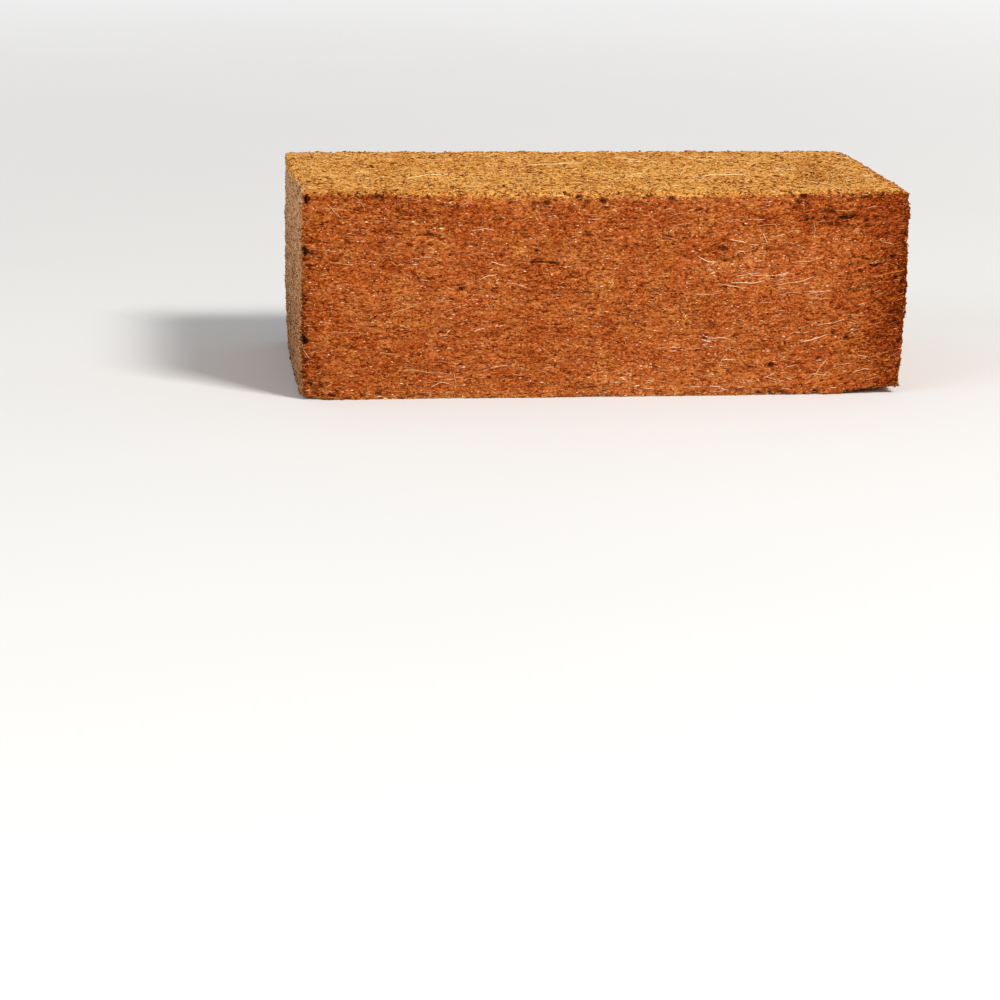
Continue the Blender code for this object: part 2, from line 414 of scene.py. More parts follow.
# From and to along, from and to in height, how many and their radius
CRUMBLINGS = listed(Crumbling, {
    Side.FRONT: (
        ((-39, -26), (93, 99.5), 8, 0.9), ((-15, 4), (94, 99.5), 9, 0.9),
        ((12, 22), (96, 99.5), 5, 0.8), ((31, 57), (97.5, 100), 12, 0.8),
        ((86, 103), (93, 101), 10, 0.9), ((112, 138), (98, 101), 9, 0.8),
        ((-128, -70), (99, 101), 10, 0.8), ((-150, -147), (18, 100), 40, 0.9),
        ((-149, -139), (3, 17), 18, 0.95), ((-138, -110), (1.5, 4), 10, 0.9),
        ((-146, -126), (68, 89), 14, 0.8), ((94, 130), (85, 93), 18, 0.9),
        ((116, 149), (50, 70), 22, 0.9), ((112, 148), (24, 39), 18, 0.8),
        ((54, 68), (63, 77), 9, 0.8), ((60, 150), (0.5, 3), 18, 1.0),
        ((-108, 148), (8, 98), 70, 0.7),
    ),
    Side.BACK: (
        ((-148, 148), (96, 101), 60, 1.0), ((-148, 148), (1, 6), 50, 1.0),
        ((-148, 148), (8, 94), 90, 0.8), ((-150, -147), (4, 100), 30, 1.0),
        ((147, 150), (4, 100), 30, 1.0),
    ),
    Side.RIGHT: (
        ((-76, 76), (96, 101), 30, 1.0), ((-76, 76), (1, 6), 30, 1.0),
        ((-75, 75), (8, 94), 50, 0.8), ((-77, -74), (4, 100), 24, 1.0),
    ),
    Side.LEFT: (
        ((-74, 76), (2, 8), 24, 1.0), ((-70, 75), (10, 98), 24, 0.7),
    ),
})
CRUMBLING_SEED = 17

# Along, height, half size along and in height, and tone
PATCHES = listed(Patch, {
    Side.FRONT: (
        (-150, 50, 10, 200, -0.08), (152, 58, 21, 75, -0.24), (146, 3, 14, 9, -0.14),
        # The long strips along the front's foot and top rim are painted light, against the shade at
        # those rims
        (78, 62, 34, 14, 0.06), (-10, 3, 150, 5, 0.07), (-10, 99, 140, 4, 0.05),
        (20, 12, 50, 18, 0.04), (108, 89, 26, 5, -0.12), (-100, 94, 40, 7, -0.06),
        (57, 74, 6, 5, -0.16), (132, 100, 24, 6, -0.08),
    ),
    Side.TOP: (
        (0, -76, 170, 5, -0.05), (118, 0, 20, 60, -0.08),
    ),
    Side.BACK: (
        (-140, 60, 14, 60, -0.12), (60, 40, 40, 16, 0.06),
    ),
    Side.RIGHT: (
        (-70, 60, 10, 80, -0.12), (20, 34, 30, 14, 0.06),
    ),
    Side.LEFT: (
        # The left end is darker at its foot, which is painted shade; it is lighter near its top
        (30, 20, 30, 14, -0.06), (0, 92, 200, 26, 0.10), (0, 4, 200, 30, -0.12),
    ),
})

# Start, end, bow, radius, tint, and how proud it is where that isn't usual
STRANDS = listed(Strand, {
    Side.FRONT: (
        ((-138.0, 97.0), (-130.8, 89.6), 0.03, 0.20, 0.82),
        ((-125.9, 100.6), (-119.6, 92.0), 0.22, 0.18, 0.80, 0.5),
        ((-107.8, 41.3), (-93.1, 47.1), 0.05, 0.20, 0.84),
        ((-81.3, 43.6), (-71.5, 47.0), -0.04, 0.18, 0.80),
        ((-67.9, 83.5), (-55.7, 83.9), 0.05, 0.22, 0.92),
        ((-62.3, 59.8), (-53.9, 61.9), 0.06, 0.24, 0.96),
        ((-149.6, 28.3), (-145.3, 20.3), -0.10, 0.20, 0.86, 0.6),
        ((102.5, 87.6), (102.8, 78.7), 0.03, 0.18, 0.88),
        ((45.0, 70.5), (55.1, 67.6), -0.10, 0.24, 0.96, 0.5),
        ((61.2, 57.4), (79.6, 58.2), -0.05, 0.25, 0.94),
        ((64.0, 59.8), (76.0, 61.6), 0.05, 0.20, 0.84),
        ((84.0, 56.0), (104.0, 60.2), -0.05, 0.27, 0.82),
        ((92.0, 67.0), (108.0, 69.6), -0.04, 0.20, 0.80),
        ((42.0, 50.6), (57.0, 51.6), 0.03, 0.20, 0.80),
        ((50.3, 28.9), (62.8, 28.4), 0.07, 0.24, 0.94),
        ((104.5, 35.0), (120.6, 38.6), -0.02, 0.22, 0.90),
        ((82.0, 39.0), (88.0, 41.4), 0.04, 0.20, 0.86),
        ((124.8, 10.5), (133.9, 12.6), 0.12, 0.24, 0.96, 0.5),
        ((-87.9, 4.6), (-76.0, 7.0), 0.18, 0.20, 0.86),
        ((-104.2, 14.4), (-76.1, 12.1), 0.03, 0.18, 0.80),
        ((128.4, 93.5), (134.3, 95.0), 0.05, 0.22, 0.90),
        ((112.0, 93.0), (124.0, 94.2), -0.08, 0.20, 0.86),
        ((57.5, 14.0), (60.5, 20.5), 0.14, 0.18, 0.82),
        ((30.0, 84.0), (42.0, 86.5), 0.08, 0.18, 0.80),
    ),
    Side.TOP: (
        ((55.4, -20.4), (79.2, -17.2), 0.04, 0.26, 0.95),
        ((103.8, -35.7), (117.2, -67.5), 0.06, 0.24, 0.92),
        ((-30.0, 22.0), (2.0, 31.0), -0.10, 0.24, 0.9),
        ((-96.0, -30.0), (-70.0, -12.0), 0.14, 0.22, 0.88),
        ((20.0, 50.0), (34.0, 34.0), 0.12, 0.22, 0.9),
    ),
    Side.BACK: (
        ((-70.0, 60.0), (-52.0, 63.0), 0.06, 0.26, 0.95),
        ((24.0, 86.0), (36.0, 80.0), 0.16, 0.24, 0.9, 0.5),
        ((92.0, 36.0), (112.0, 34.0), -0.05, 0.26, 0.94),
        ((-20.0, 16.0), (-4.0, 19.0), 0.08, 0.26, 0.92),
    ),
    Side.RIGHT: (
        ((-40.0, 66.0), (-24.0, 69.0), 0.08, 0.26, 0.95),
        ((18.0, 44.0), (36.0, 42.0), -0.06, 0.28, 0.96),
        ((50.0, 92.0), (55.0, 80.0), 0.14, 0.22, 0.88, 0.5),
    ),
    Side.LEFT: (
        ((-52.0, 70.0), (-38.0, 72.0), 0.06, 0.24, 0.9),
        ((10.0, 52.0), (28.0, 49.0), 0.06, 0.24, 0.92),
    ),
    Side.UNDER: (
        ((-60.0, 20.0), (-38.0, 6.0), 0.10, 0.24, 0.9),
        ((50.0, -30.0), (70.0, -22.0), -0.10, 0.24, 0.9),
    ),
})


@dataclass(frozen=True)
class Tones:
    """Where a surface stands between coir's tones, partly painted light and shade, from 0 to 1 a
    point.
    """

    golden_and_sunlit: np.ndarray
    grey_and_shade: np.ndarray
    lift: np.ndarray

    def write(self, mesh: bpy.types.Mesh) -> None:
        """Store the tones on the mesh's points."""
        for name in ("golden_and_sunlit", "grey_and_shade", "lift"):
            write_numbers(mesh, name, getattr(self, name))


@dataclass(frozen=True)
class ToneMap:
    """Which tone coir has where: golden on the pressed faces, partly painted sunlight, and greyer
    on the left end, partly painted shade.

    Each side claims the places by how near they are to it, and a place takes the tone of the side
    with the least claim, which is a length. Heights at the rims are in millimetres.
    """

    # How golden each side is: a tone partly coir's own and partly painted sunlight
    golden_and_sunlit: dict[Side, float] = field(default_factory=lambda: {
        Side.FRONT: 0.0, Side.BACK: 0.08, Side.LEFT: 0.5,
        Side.RIGHT: 0.3, Side.TOP: 1.0, Side.UNDER: 0.65,
    })
    # How grey each side is: the left end's paler tone, partly its own and partly painted shade
    grey_and_shade: dict[Side, float] = field(default_factory=lambda: {Side.LEFT: 0.8, Side.UNDER: 0.25})
    blend: float = 0.0005
    patch_depth: float = 3 * MM
    # The left end keeps its tone out to its back and lower rims
    left_rim: float = 4 * MM
    left_rim_keeps: float = 3 * MM
    # It gives way fast to the front, comes round the top's edge at one place, and ends at the back
    left_gives_way: float = 4.0
    comes_round: float = 13
    comes_round_at: float = -0.048
    comes_round_over: float = 0.022
    ends: float = 2.5
    ends_from: float = -0.01
    ends_over: float = 0.05
    # The top's tone hangs over its ragged edge, less and less towards the two ends
    overhang: float = 1.75
    underhang: float = 0.1
    overhang_left: float = 0.090
    overhang_right: float = 0.085
    overhang_power: int = 4
    ragged: tuple = ((0.26, 880, 0), (0.22, 2310, 1), (0.16, 4070, 2))

    def at(self, points: np.ndarray) -> Tones:
        """Find the tones of places on the bale.

        Args:
            points: the places, one a row.

        Returns:
            How golden and how grey coir is at each, and how much lighter.
        """
        gaps = {side: side_gap(points, side) for side in Side}
        claims = self._claims(points, gaps)
        nearest = np.min(list(claims.values()), axis=0)
        golden_and_sunlit, grey_and_shade, total = np.zeros((3, len(points)))
        for side, claim in claims.items():
            weight = np.exp(-(claim - nearest) / self.blend)
            golden_and_sunlit += weight * self.golden_and_sunlit[side]
            grey_and_shade += weight * self.grey_and_shade.get(side, 0.0)
            total += weight
        return Tones(golden_and_sunlit / total, grey_and_shade / total, self._lift(points, gaps))

    def _claims(self, points: np.ndarray, gaps: dict[Side, np.ndarray]) -> dict[Side, np.ndarray]:
        """Find how far each side is from having the places to itself.

        Args:
            points: the places, one a row.
            gaps: how far they are inside each side's plane.

        Returns:
            The length for each side and place.
        """
        claims = dict(gaps)
        claims[Side.LEFT] = self._left_end_claim(gaps[Side.LEFT], points[:, 1])
        along_the_edge = points[:, 0] + points[:, 1] + DEPTH / 2
        claims[Side.TOP] = gaps[Side.TOP] - self._overhang(along_the_edge)
        near_left = np.clip(1 - gaps[Side.LEFT] / self.left_rim, 0, 1)
        for side in (Side.BACK, Side.UNDER):
            claims[side] = gaps[side] + self.left_rim_keeps * near_left
        return claims

    def _left_end_claim(self, gap: np.ndarray, y: np.ndarray) -> np.ndarray:
        """Find how far the left end is from having places to itself.

        Args:
            gap: how far the places are inside the left end's plane.
            y: the places' distances back from the bale's middle.

        Returns:
            The length at each place.
        """
        hump = (y - self.comes_round_at) / self.comes_round_over
        comes_round = self.comes_round * np.exp(-hump ** 2)
        gives_way = self.ends * np.clip((y - self.ends_from) / self.ends_over, 0, 1)
        stands_out = STANDS_OUT[Side.LEFT] * MM
        return (gap + stands_out) * self.left_gives_way + (gives_way - comes_round) * MM

    def _overhang(self, along: np.ndarray) -> np.ndarray:
        """Find how far the golden tone of the top reaches down over its ragged edge.

        Args:
            along: places along the edge, from its middle.

        Returns:
            The length at each place.
        """
        reach = np.where(along < 0, self.overhang_left, self.overhang_right)
        broad = self.overhang * np.exp(-(along / reach) ** self.overhang_power) - self.underhang
        waves = (high * np.sin(fineness * along + phase) for high, fineness, phase in self.ragged)
        return (broad + sum(waves)) * MM

    def _lift(self, points: np.ndarray, gaps: dict[Side, np.ndarray]) -> np.ndarray:
        """Find how much lighter the patches make places.

        Args:
            points: the places, one a row.
            gaps: how far they are inside each side's plane.

        Returns:
            The lift in tone at each.
        """
        lift = np.zeros(len(points))
        for patch in PATCHES:
            offset = points - np.array(patch.side.place(patch.along, patch.height))
            along = offset @ np.array(patch.side.along) / (patch.half_along * MM)
            across = offset @ np.array(patch.side.across) / (patch.half_height * MM)
            off_plane = gaps[patch.side] / self.patch_depth
            lift += patch.tone * np.exp(-(along ** 2 + across ** 2 + off_plane ** 2))
        return lift


TONE_MAP = ToneMap()


def mesh_from_arrays(name: str, points: np.ndarray, triangles: np.ndarray) -> bpy.types.Mesh:
    """Make a mesh of many like triangles.

    Args:
        name: the mesh's name.
        points: the places of its points, one a row.
        triangles: three point numbers a row.

    Returns:
        The new mesh.
    """
    mesh = bpy.data.meshes.new(name)
    mesh.vertices.add(len(points))
    mesh.vertices.foreach_set("co", points.astype(np.float32).ravel())
    mesh.loops.add(triangles.size)
    mesh.loops.foreach_set("vertex_index", triangles.astype(np.int32).ravel())
    mesh.polygons.add(len(triangles))
    mesh.polygons.foreach_set("loop_start", np.arange(0, triangles.size, 3, dtype=np.int32))
    mesh.update(calc_edges=True)
    mesh.validate()
    return mesh


def write_numbers(mesh: bpy.types.Mesh, name: str, values: np.ndarray) -> None:
    """Store one number a point under a name that materials can read."""
    attribute = mesh.attributes.new(name, "FLOAT", "POINT")
    attribute.data.foreach_set("value", values.astype(np.float32))


def read_numbers(mesh: bpy.types.Mesh, name: str) -> np.ndarray:
    """Read the numbers stored on a mesh's points.

    Args:
        mesh: the mesh.
        name: the name that they are stored under.

    Returns:
        One number a point.
    """
    values = np.empty(len(mesh.vertices), np.float32)
    mesh.attributes[name].data.foreach_get("value", values)
    return values.astype(float)


def read_vectors(mesh: bpy.types.Mesh, what: str) -> np.ndarray:
    """Read a vector from each of a mesh's points.

    Args:
        mesh: the mesh.
        what: "co" for the points' places, and "normal" for the outward directions.

    Returns:
        The vectors, one a row.
    """
    vectors = np.empty(len(mesh.vertices) * 3, np.float32)
    mesh.vertices.foreach_get(what, vectors)
    return vectors.reshape(-1, 3).astype(float)


def triangle_count(mesh: bpy.types.Mesh) -> int:
    """How many triangles the mesh has."""
    return len(mesh.loops) - 2 * len(mesh.polygons)


def in_scene(name: str, data: bpy.types.ID) -> bpy.types.Object:
    """Put a mesh, a lamp or a camera in the scene.

    Args:
        name: the object's name.
        data: what the object shows.

    Returns:
        The object.
    """
    made = bpy.data.objects.new(name, data)
    bpy.context.scene.collection.objects.link(made)
    return made


class Wire:
    """A shader socket that Python expressions can use: each operator adds its Math node."""

    def __init__(self, tree: "ShaderTree", socket: bpy.types.NodeSocket) -> None:
        """Wrap a socket of that tree."""
        self.tree = tree
        self.socket = socket

    def _maths(self, operation: str, *values: "Wire | float") -> "Wire":
        """Add a Math node over these values."""
        return self.tree.node("ShaderNodeMath", {"operation": operation}, dict(enumerate(values)))

    def __add__(self, other: "Wire | float") -> "Wire":
        """self + other."""
        return self._maths("ADD", self, other)

    __radd__ = __add__

    def __sub__(self, other: "Wire | float") -> "Wire":
        """self - other."""
        return self._maths("SUBTRACT", self, other)

    def __rsub__(self, other: float) -> "Wire":
        """other - self."""
        return self._maths("SUBTRACT", other, self)

    def __mul__(self, other: "Wire | float") -> "Wire":
        """self * other."""
        return self._maths("MULTIPLY", self, other)

    __rmul__ = __mul__

    def at_least(self, floor: float) -> "Wire":
        """The greater of this and a number."""
        return self._maths("MAXIMUM", self, floor)

    def within(self, low: float, high: float) -> "Wire":
        """This, held between two numbers."""
        return self._maths("MINIMUM", self.at_least(low), high)

    def smooth_step(self, low: float, high: float) -> "Wire":
        """0 below low, 1 above high, and smooth between."""
        settings = {"interpolation_type": "SMOOTHSTEP"}
        return self.tree.node("ShaderNodeMapRange", settings, {0: self, 1: low, 2: high})


@dataclass(frozen=True)
class Cloud:
    """A pattern of noise: features a metre, octaves, roughness, and how much finer upright."""

    fineness: float
    octaves: float
    roughness: float
    finer_upright: float = 1.0


class ShaderTree:
    """A material's node tree, built by calls that return wires."""

    def __init__(self, name: str) -> None:
        """Start a new material with an empty tree.

        Args:
            name: the material's name.
        """
        self.material = bpy.data.materials.new(name)
        self.material.use_nodes = True
        self.nodes = self.material.node_tree.nodes
        self.links = self.material.node_tree.links
        self.nodes.clear()

    def node(self, kind: str, settings: dict | None = None, inputs: dict | None = None,
             output: int | str = 0) -> Wire:
        """Add a node.

        Args:
            kind: the node's type.
            settings: its properties; "stops" sets a colour ramp's stops.
            inputs: values or wires by socket name or number.
            output: which output to return.

        Returns:
            The wire of that output.
        """
        made = self.nodes.new(kind)
        for key, value in (settings or {}).items():
            if key == "stops":
                self._set_stops(made.color_ramp, value)
            else:
                setattr(made, key, value)
        for key, value in (inputs or {}).items():
            if isinstance(value, Wire):
                self.links.new(value.socket, made.inputs[key])
            else:
                made.inputs[key].default_value = value
        return Wire(self, made.outputs[output])

    @staticmethod
    def _set_stops(ramp: bpy.types.ColorRamp, stops: tuple) -> None:
        """Give a colour ramp its stops.

        Args:
            ramp: the ramp.
            stops: a place and a colour for each.
        """
        while len(ramp.elements) > 1:
            ramp.elements.remove(ramp.elements[-1])
        ramp.elements[0].position = stops[0][0]
        ramp.elements[0].color = (*stops[0][1], 1.0)
        for place, colour in stops[1:]:
            ramp.elements.new(place).color = (*colour, 1.0)

    def number(self, name: str) -> Wire:
        """A number stored on the mesh."""
        return self.node("ShaderNodeAttribute", {"attribute_name": name}, output="Fac")

    def places(self) -> Wire:
        """Object coordinates."""
        return self.node("ShaderNodeTexCoord", output="Object")

    def finer_upright(self, places: Wire, times: float) -> Wire:
        """Coordinates on which a pattern comes out so many times finer upright."""
        multiply = {"operation": "MULTIPLY"}
        return self.node("ShaderNodeVectorMath", multiply, {0: places, 1: (1, 1, times)})

    def bedded(self, places: Wire) -> Wire:
        """Turn coordinates into ones that follow the bedding where it rises.

        Args:
            places: the coordinates.

        Returns:
            The new coordinates.
        """
        apart = self.node("ShaderNodeSeparateXYZ", inputs={0: places})
        x, y, z = (Wire(self, socket) for socket in apart.socket.node.outputs)
        past = (x - BEDDING_STARTS_TO_RISE).at_least(0.0)
        inputs = {0: x, 1: y, 2: z - BEDDING_RISE * past * past}
        return self.node("ShaderNodeCombineXYZ", inputs=inputs)

    def cloud(self, places: Wire, kind: Cloud) -> Wire:
        """Add a pattern of noise.

        Args:
            places: the coordinates that it reads.
            kind: the pattern.

        Returns:
            A number from 0 to 1, mostly near the middle.
        """
        if kind.finer_upright != 1.0:
            places = self.finer_upright(places, kind.finer_upright)
        inputs = {"Vector": places, "Scale": kind.fineness, "Detail": kind.octaves,
                  "Roughness": kind.roughness}
        return self.node("ShaderNodeTexNoise", {"noise_dimensions": "3D"}, inputs)

    def ramp(self, value: Wire, stops: tuple) -> Wire:
        """A colour ramp over a number."""
        return self.node("ShaderNodeValToRGB", {"stops": stops}, {"Fac": value})

    def mixed(self, share: Wire, first: Wire | tuple, second: Wire | tuple) -> Wire:
        """The first colour where the share is 0, and the second where it is 1."""
        inputs = {0: share, 6: first, 7: second}
        return self.node("ShaderNodeMix", {"data_type": "RGBA"}, inputs, output=2)

    def finish(self, colour: Wire, roughness: Wire | float, specular: float,
               bump: dict | None = None, glow: Wire | None = None) -> bpy.types.Material:
        """End the tree in a Principled shader.

        Args:
            colour: the base colour.
            roughness: the roughness.
            specular: the specular level.
            bump: the bump node's Height, its Distance in metres and its Strength.
            glow: light that it gives off.

        Returns:
            The finished material.
        """
        inputs = {"Base Color": colour, "Roughness": roughness, "Specular IOR Level": specular}
        if glow is not None:
            inputs.update({"Emission Color": glow, "Emission Strength": 1.0})
        if bump is not None:
            inputs["Normal"] = self.node("ShaderNodeBump", inputs=bump)
        shader = self.node("ShaderNodeBsdfPrincipled", inputs=inputs)
        out = self.nodes.new("ShaderNodeOutputMaterial")
        self.links.new(shader.socket, out.inputs["Surface"])
        return self.material


@dataclass(frozen=True)
class CoirTones:
    """Coir's colours from its darkest grains to its palest straw, on each kind of side."""

    sides: tuple = (
        (0.00, (0.090, 0.010, 0.000)),
        (0.20, (0.235, 0.036, 0.004)),
        (0.42, (0.402, 0.092, 0.018)),
        (0.64, (0.562, 0.178, 0.048)),
        (0.84, (0.762, 0.382, 0.172)),
        (1.00, (0.910, 0.670, 0.440)),
    )
    # The golden tones of the pressed faces: partly coir's own, partly painted sunlight
    pressed: tuple = (
        (0.00, (0.130, 0.020, 0.001)),
        (0.20, (0.370, 0.098, 0.011)),
        (0.42, (0.690, 0.336, 0.074)),
        (0.64, (0.785, 0.458, 0.132)),
        (0.84, (0.885, 0.620, 0.245)),
        (1.00, (0.940, 0.760, 0.440)),
    )
    # The left end's paler, greyer tones: partly its own, partly painted shade
    pale_end_and_shade: tuple = (
        (0.00, (0.160, 0.066, 0.026)),
        (0.20, (0.330, 0.155, 0.066)),
        (0.42, (0.560, 0.300, 0.150)),
        (0.64, (0.680, 0.410, 0.225)),
        (0.84, (0.790, 0.540, 0.340)),
        (1.00, (0.880, 0.680, 0.490)),
    )
    # Where the gold wears off in patches and how it drifts; and, as painted shade, how little of
    # the gold and grey a hollow keeps
    patchy: Cloud = Cloud(70, 3, 0.6)
    patch_edges: tuple[float, float] = (0.56, 0.74)
    red_patches: float = 0.42
    drifting: Cloud = Cloud(85, 3, 0.6)
    hue_drift: float = 0.80
    least_golden: float = 0.055
    reddened_hollow_shade: float = 0.85
    # How much lighter or darker broad clouds and bands along the bedding make it
    broad: Cloud = Cloud(26, 3, 0.5)
    broad_share: float = 0.13
    bands: Cloud = Cloud(34, 2, 0.5, 13)
    band_share: float = 0.22

    def colour(self, tree: ShaderTree, tint: Wire, shade: float) -> Wire:
        """Colour coir by its tint and the side that it is on.

        Args:
            tree: the tree to add to.
            tint: from 0, darkest, to 1, palest, before what the place adds to it.
            shade: how much darker painted shade makes it where the surface is hollow.

        Returns:
            The colour.
        """
        places = tree.places()
        tint = (tint + self._by_place(tree, places)).within(0.0, 1.0)
        patchy = tree.cloud(places, self.patchy).smooth_step(*self.patch_edges)
        # Hollows keep little of the golden and grey tones: painted shade, redder there
        open_face = 1 - self.reddened_hollow_shade * tree.number("hollow")
        drift = self.least_golden + self.hue_drift * (tree.cloud(places, self.drifting) - 0.5)
        share = (tree.number("golden_and_sunlit") * (1 - self.red_patches * patchy) + drift).within(0.0, 1.0)
        plain = tree.ramp(tint, self.sides)
        golden_and_sunlit = tree.mixed(share * open_face, plain, tree.ramp(tint, self.pressed))
        pale_end_and_shade = tree.ramp(tint, self.pale_end_and_shade)
        coir = tree.mixed(tree.number("grey_and_shade") * open_face, golden_and_sunlit, pale_end_and_shade)
        # Painted shade: darker where the surface is hollow
        light = 1 - shade * tree.number("hollow")
        return tree.node("ShaderNodeVectorMath", {"operation": "SCALE"}, {0: coir, "Scale": light})

    def _by_place(self, tree: ShaderTree, places: Wire) -> Wire:
        """Find what a place adds to coir's tint.

        Args:
            tree: the tree to add to.
            places: object coordinates.

        Returns:
            The sum of the broad clouds, the bands and the side's patches.
        """
        broad = self.broad_share * (tree.cloud(places, self.broad) - 0.5)
        bands = self.band_share * (tree.cloud(tree.bedded(places), self.bands) - 0.5)
        return broad + bands + tree.number("lift")


@dataclass(frozen=True)
class BrickFinish:
    """The pressed mass itself: fine pith with specks, bedded streaks, and painted shade in hollows.
    """

    tones: CoirTones = CoirTones()
    tint: float = 0.37
    streaks: Cloud = Cloud(170, 3, 0.6, 3.4)
    streak_share: float = 0.55
    grains: Cloud = Cloud(860, 2, 0.65, 1.5)
    grain_share: float = 1.25
    cells_fineness: float = 480.0
    cells_finer_upright: float = 1.7
    cell_share: float = 0.22
    usual_cell: float = 0.35
    dark_rim: float = 0.02
    # How much painted shade darkens the brick in its cracks and pits
    painted_hollow_shade: float = 0.58
    roughness: float = 0.86
    rougher_grains: float = 0.10
    specular: float = 0.03
    relief: float = 0.0007
    relief_strength: float = 0.75
    grain_relief: float = 0.6
    streak_relief: float = 0.5
    cell_relief: float = 0.5

    def build(self) -> bpy.types.Material:
        """Make the material.

        Returns:
            The material.
        """
        tree = ShaderTree("coir_brick")
        places = tree.places()
        streaks = tree.cloud(tree.bedded(places), self.streaks)
        grains = tree.cloud(places, self.grains)
        cell_places = tree.finer_upright(places, self.cells_finer_upright)
        inputs = {"Vector": cell_places, "Scale": self.cells_fineness}
        cells = tree.node("ShaderNodeTexVoronoi", {"feature": "F1"}, inputs, output="Distance")
        tint = (
            self.tint
            + self.streak_share * (streaks - 0.5)
            + self.grain_share * (grains - 0.5)
            - self.cell_share * (cells - self.usual_cell)
            - self.dark_rim * tree.number("rim")
        )
        colour = self.tones.colour(tree, tint, self.painted_hollow_shade)
        roughness = self.roughness + self.rougher_grains * grains
        height = grains * self.grain_relief + streaks * self.streak_relief
        height = height - cells * self.cell_relief
        bump = {"Height": height, "Distance": self.relief, "Strength": self.relief_strength}
        return tree.finish(colour, roughness, self.specular, bump)


@dataclass(frozen=True)
class LooseFinish:
    """A finish of flakes or fibres, each with a tint of its own."""

    name: str
    roughness: float
    specular: float
    mottle: float
    tones: CoirTones = CoirTones()
    fine: Cloud = Cloud(900, 2, 0.6)
    # How much painted shade darkens flakes that lie in hollows
    painted_hollow_shade: float = 0.6
    uneven_roughness: float = 0.12
    relief: float = 0.0001
    relief_strength: float = 0.3

    def build(self) -> bpy.types.Material:
        """Make the material.

        Returns:
            The material.
        """
        tree = ShaderTree(self.name)
        fine = tree.cloud(tree.places(), self.fine)
        tint = tree.number("tint") + self.mottle * (fine - 0.5)
        colour = self.tones.colour(tree, tint, self.painted_hollow_shade)
        roughness = self.roughness + self.uneven_roughness * (fine - 0.5)
        bump = {"Height": fine, "Distance": self.relief, "Strength": self.relief_strength}
        return tree.finish(colour, roughness, self.specular, bump)


@dataclass(frozen=True)
class Lumps:
    """Lumps of a surface: how high, in millimetres, and how many a metre, level and upright."""

    high: float
    level: float
    upright: float

    def place(self, x: float, y: float, z: float, seed: Vector) -> Vector:
        """Where to read noise for lumps of this size."""
        return Vector((x * self.level, y * self.level, z * self.upright)) + seed

    def at(self, x: float, y: float, z: float, seed: Vector) -> float:
        """How high they are at a place."""
        return self.high * noise.noise(self.place(x, y, z, seed))


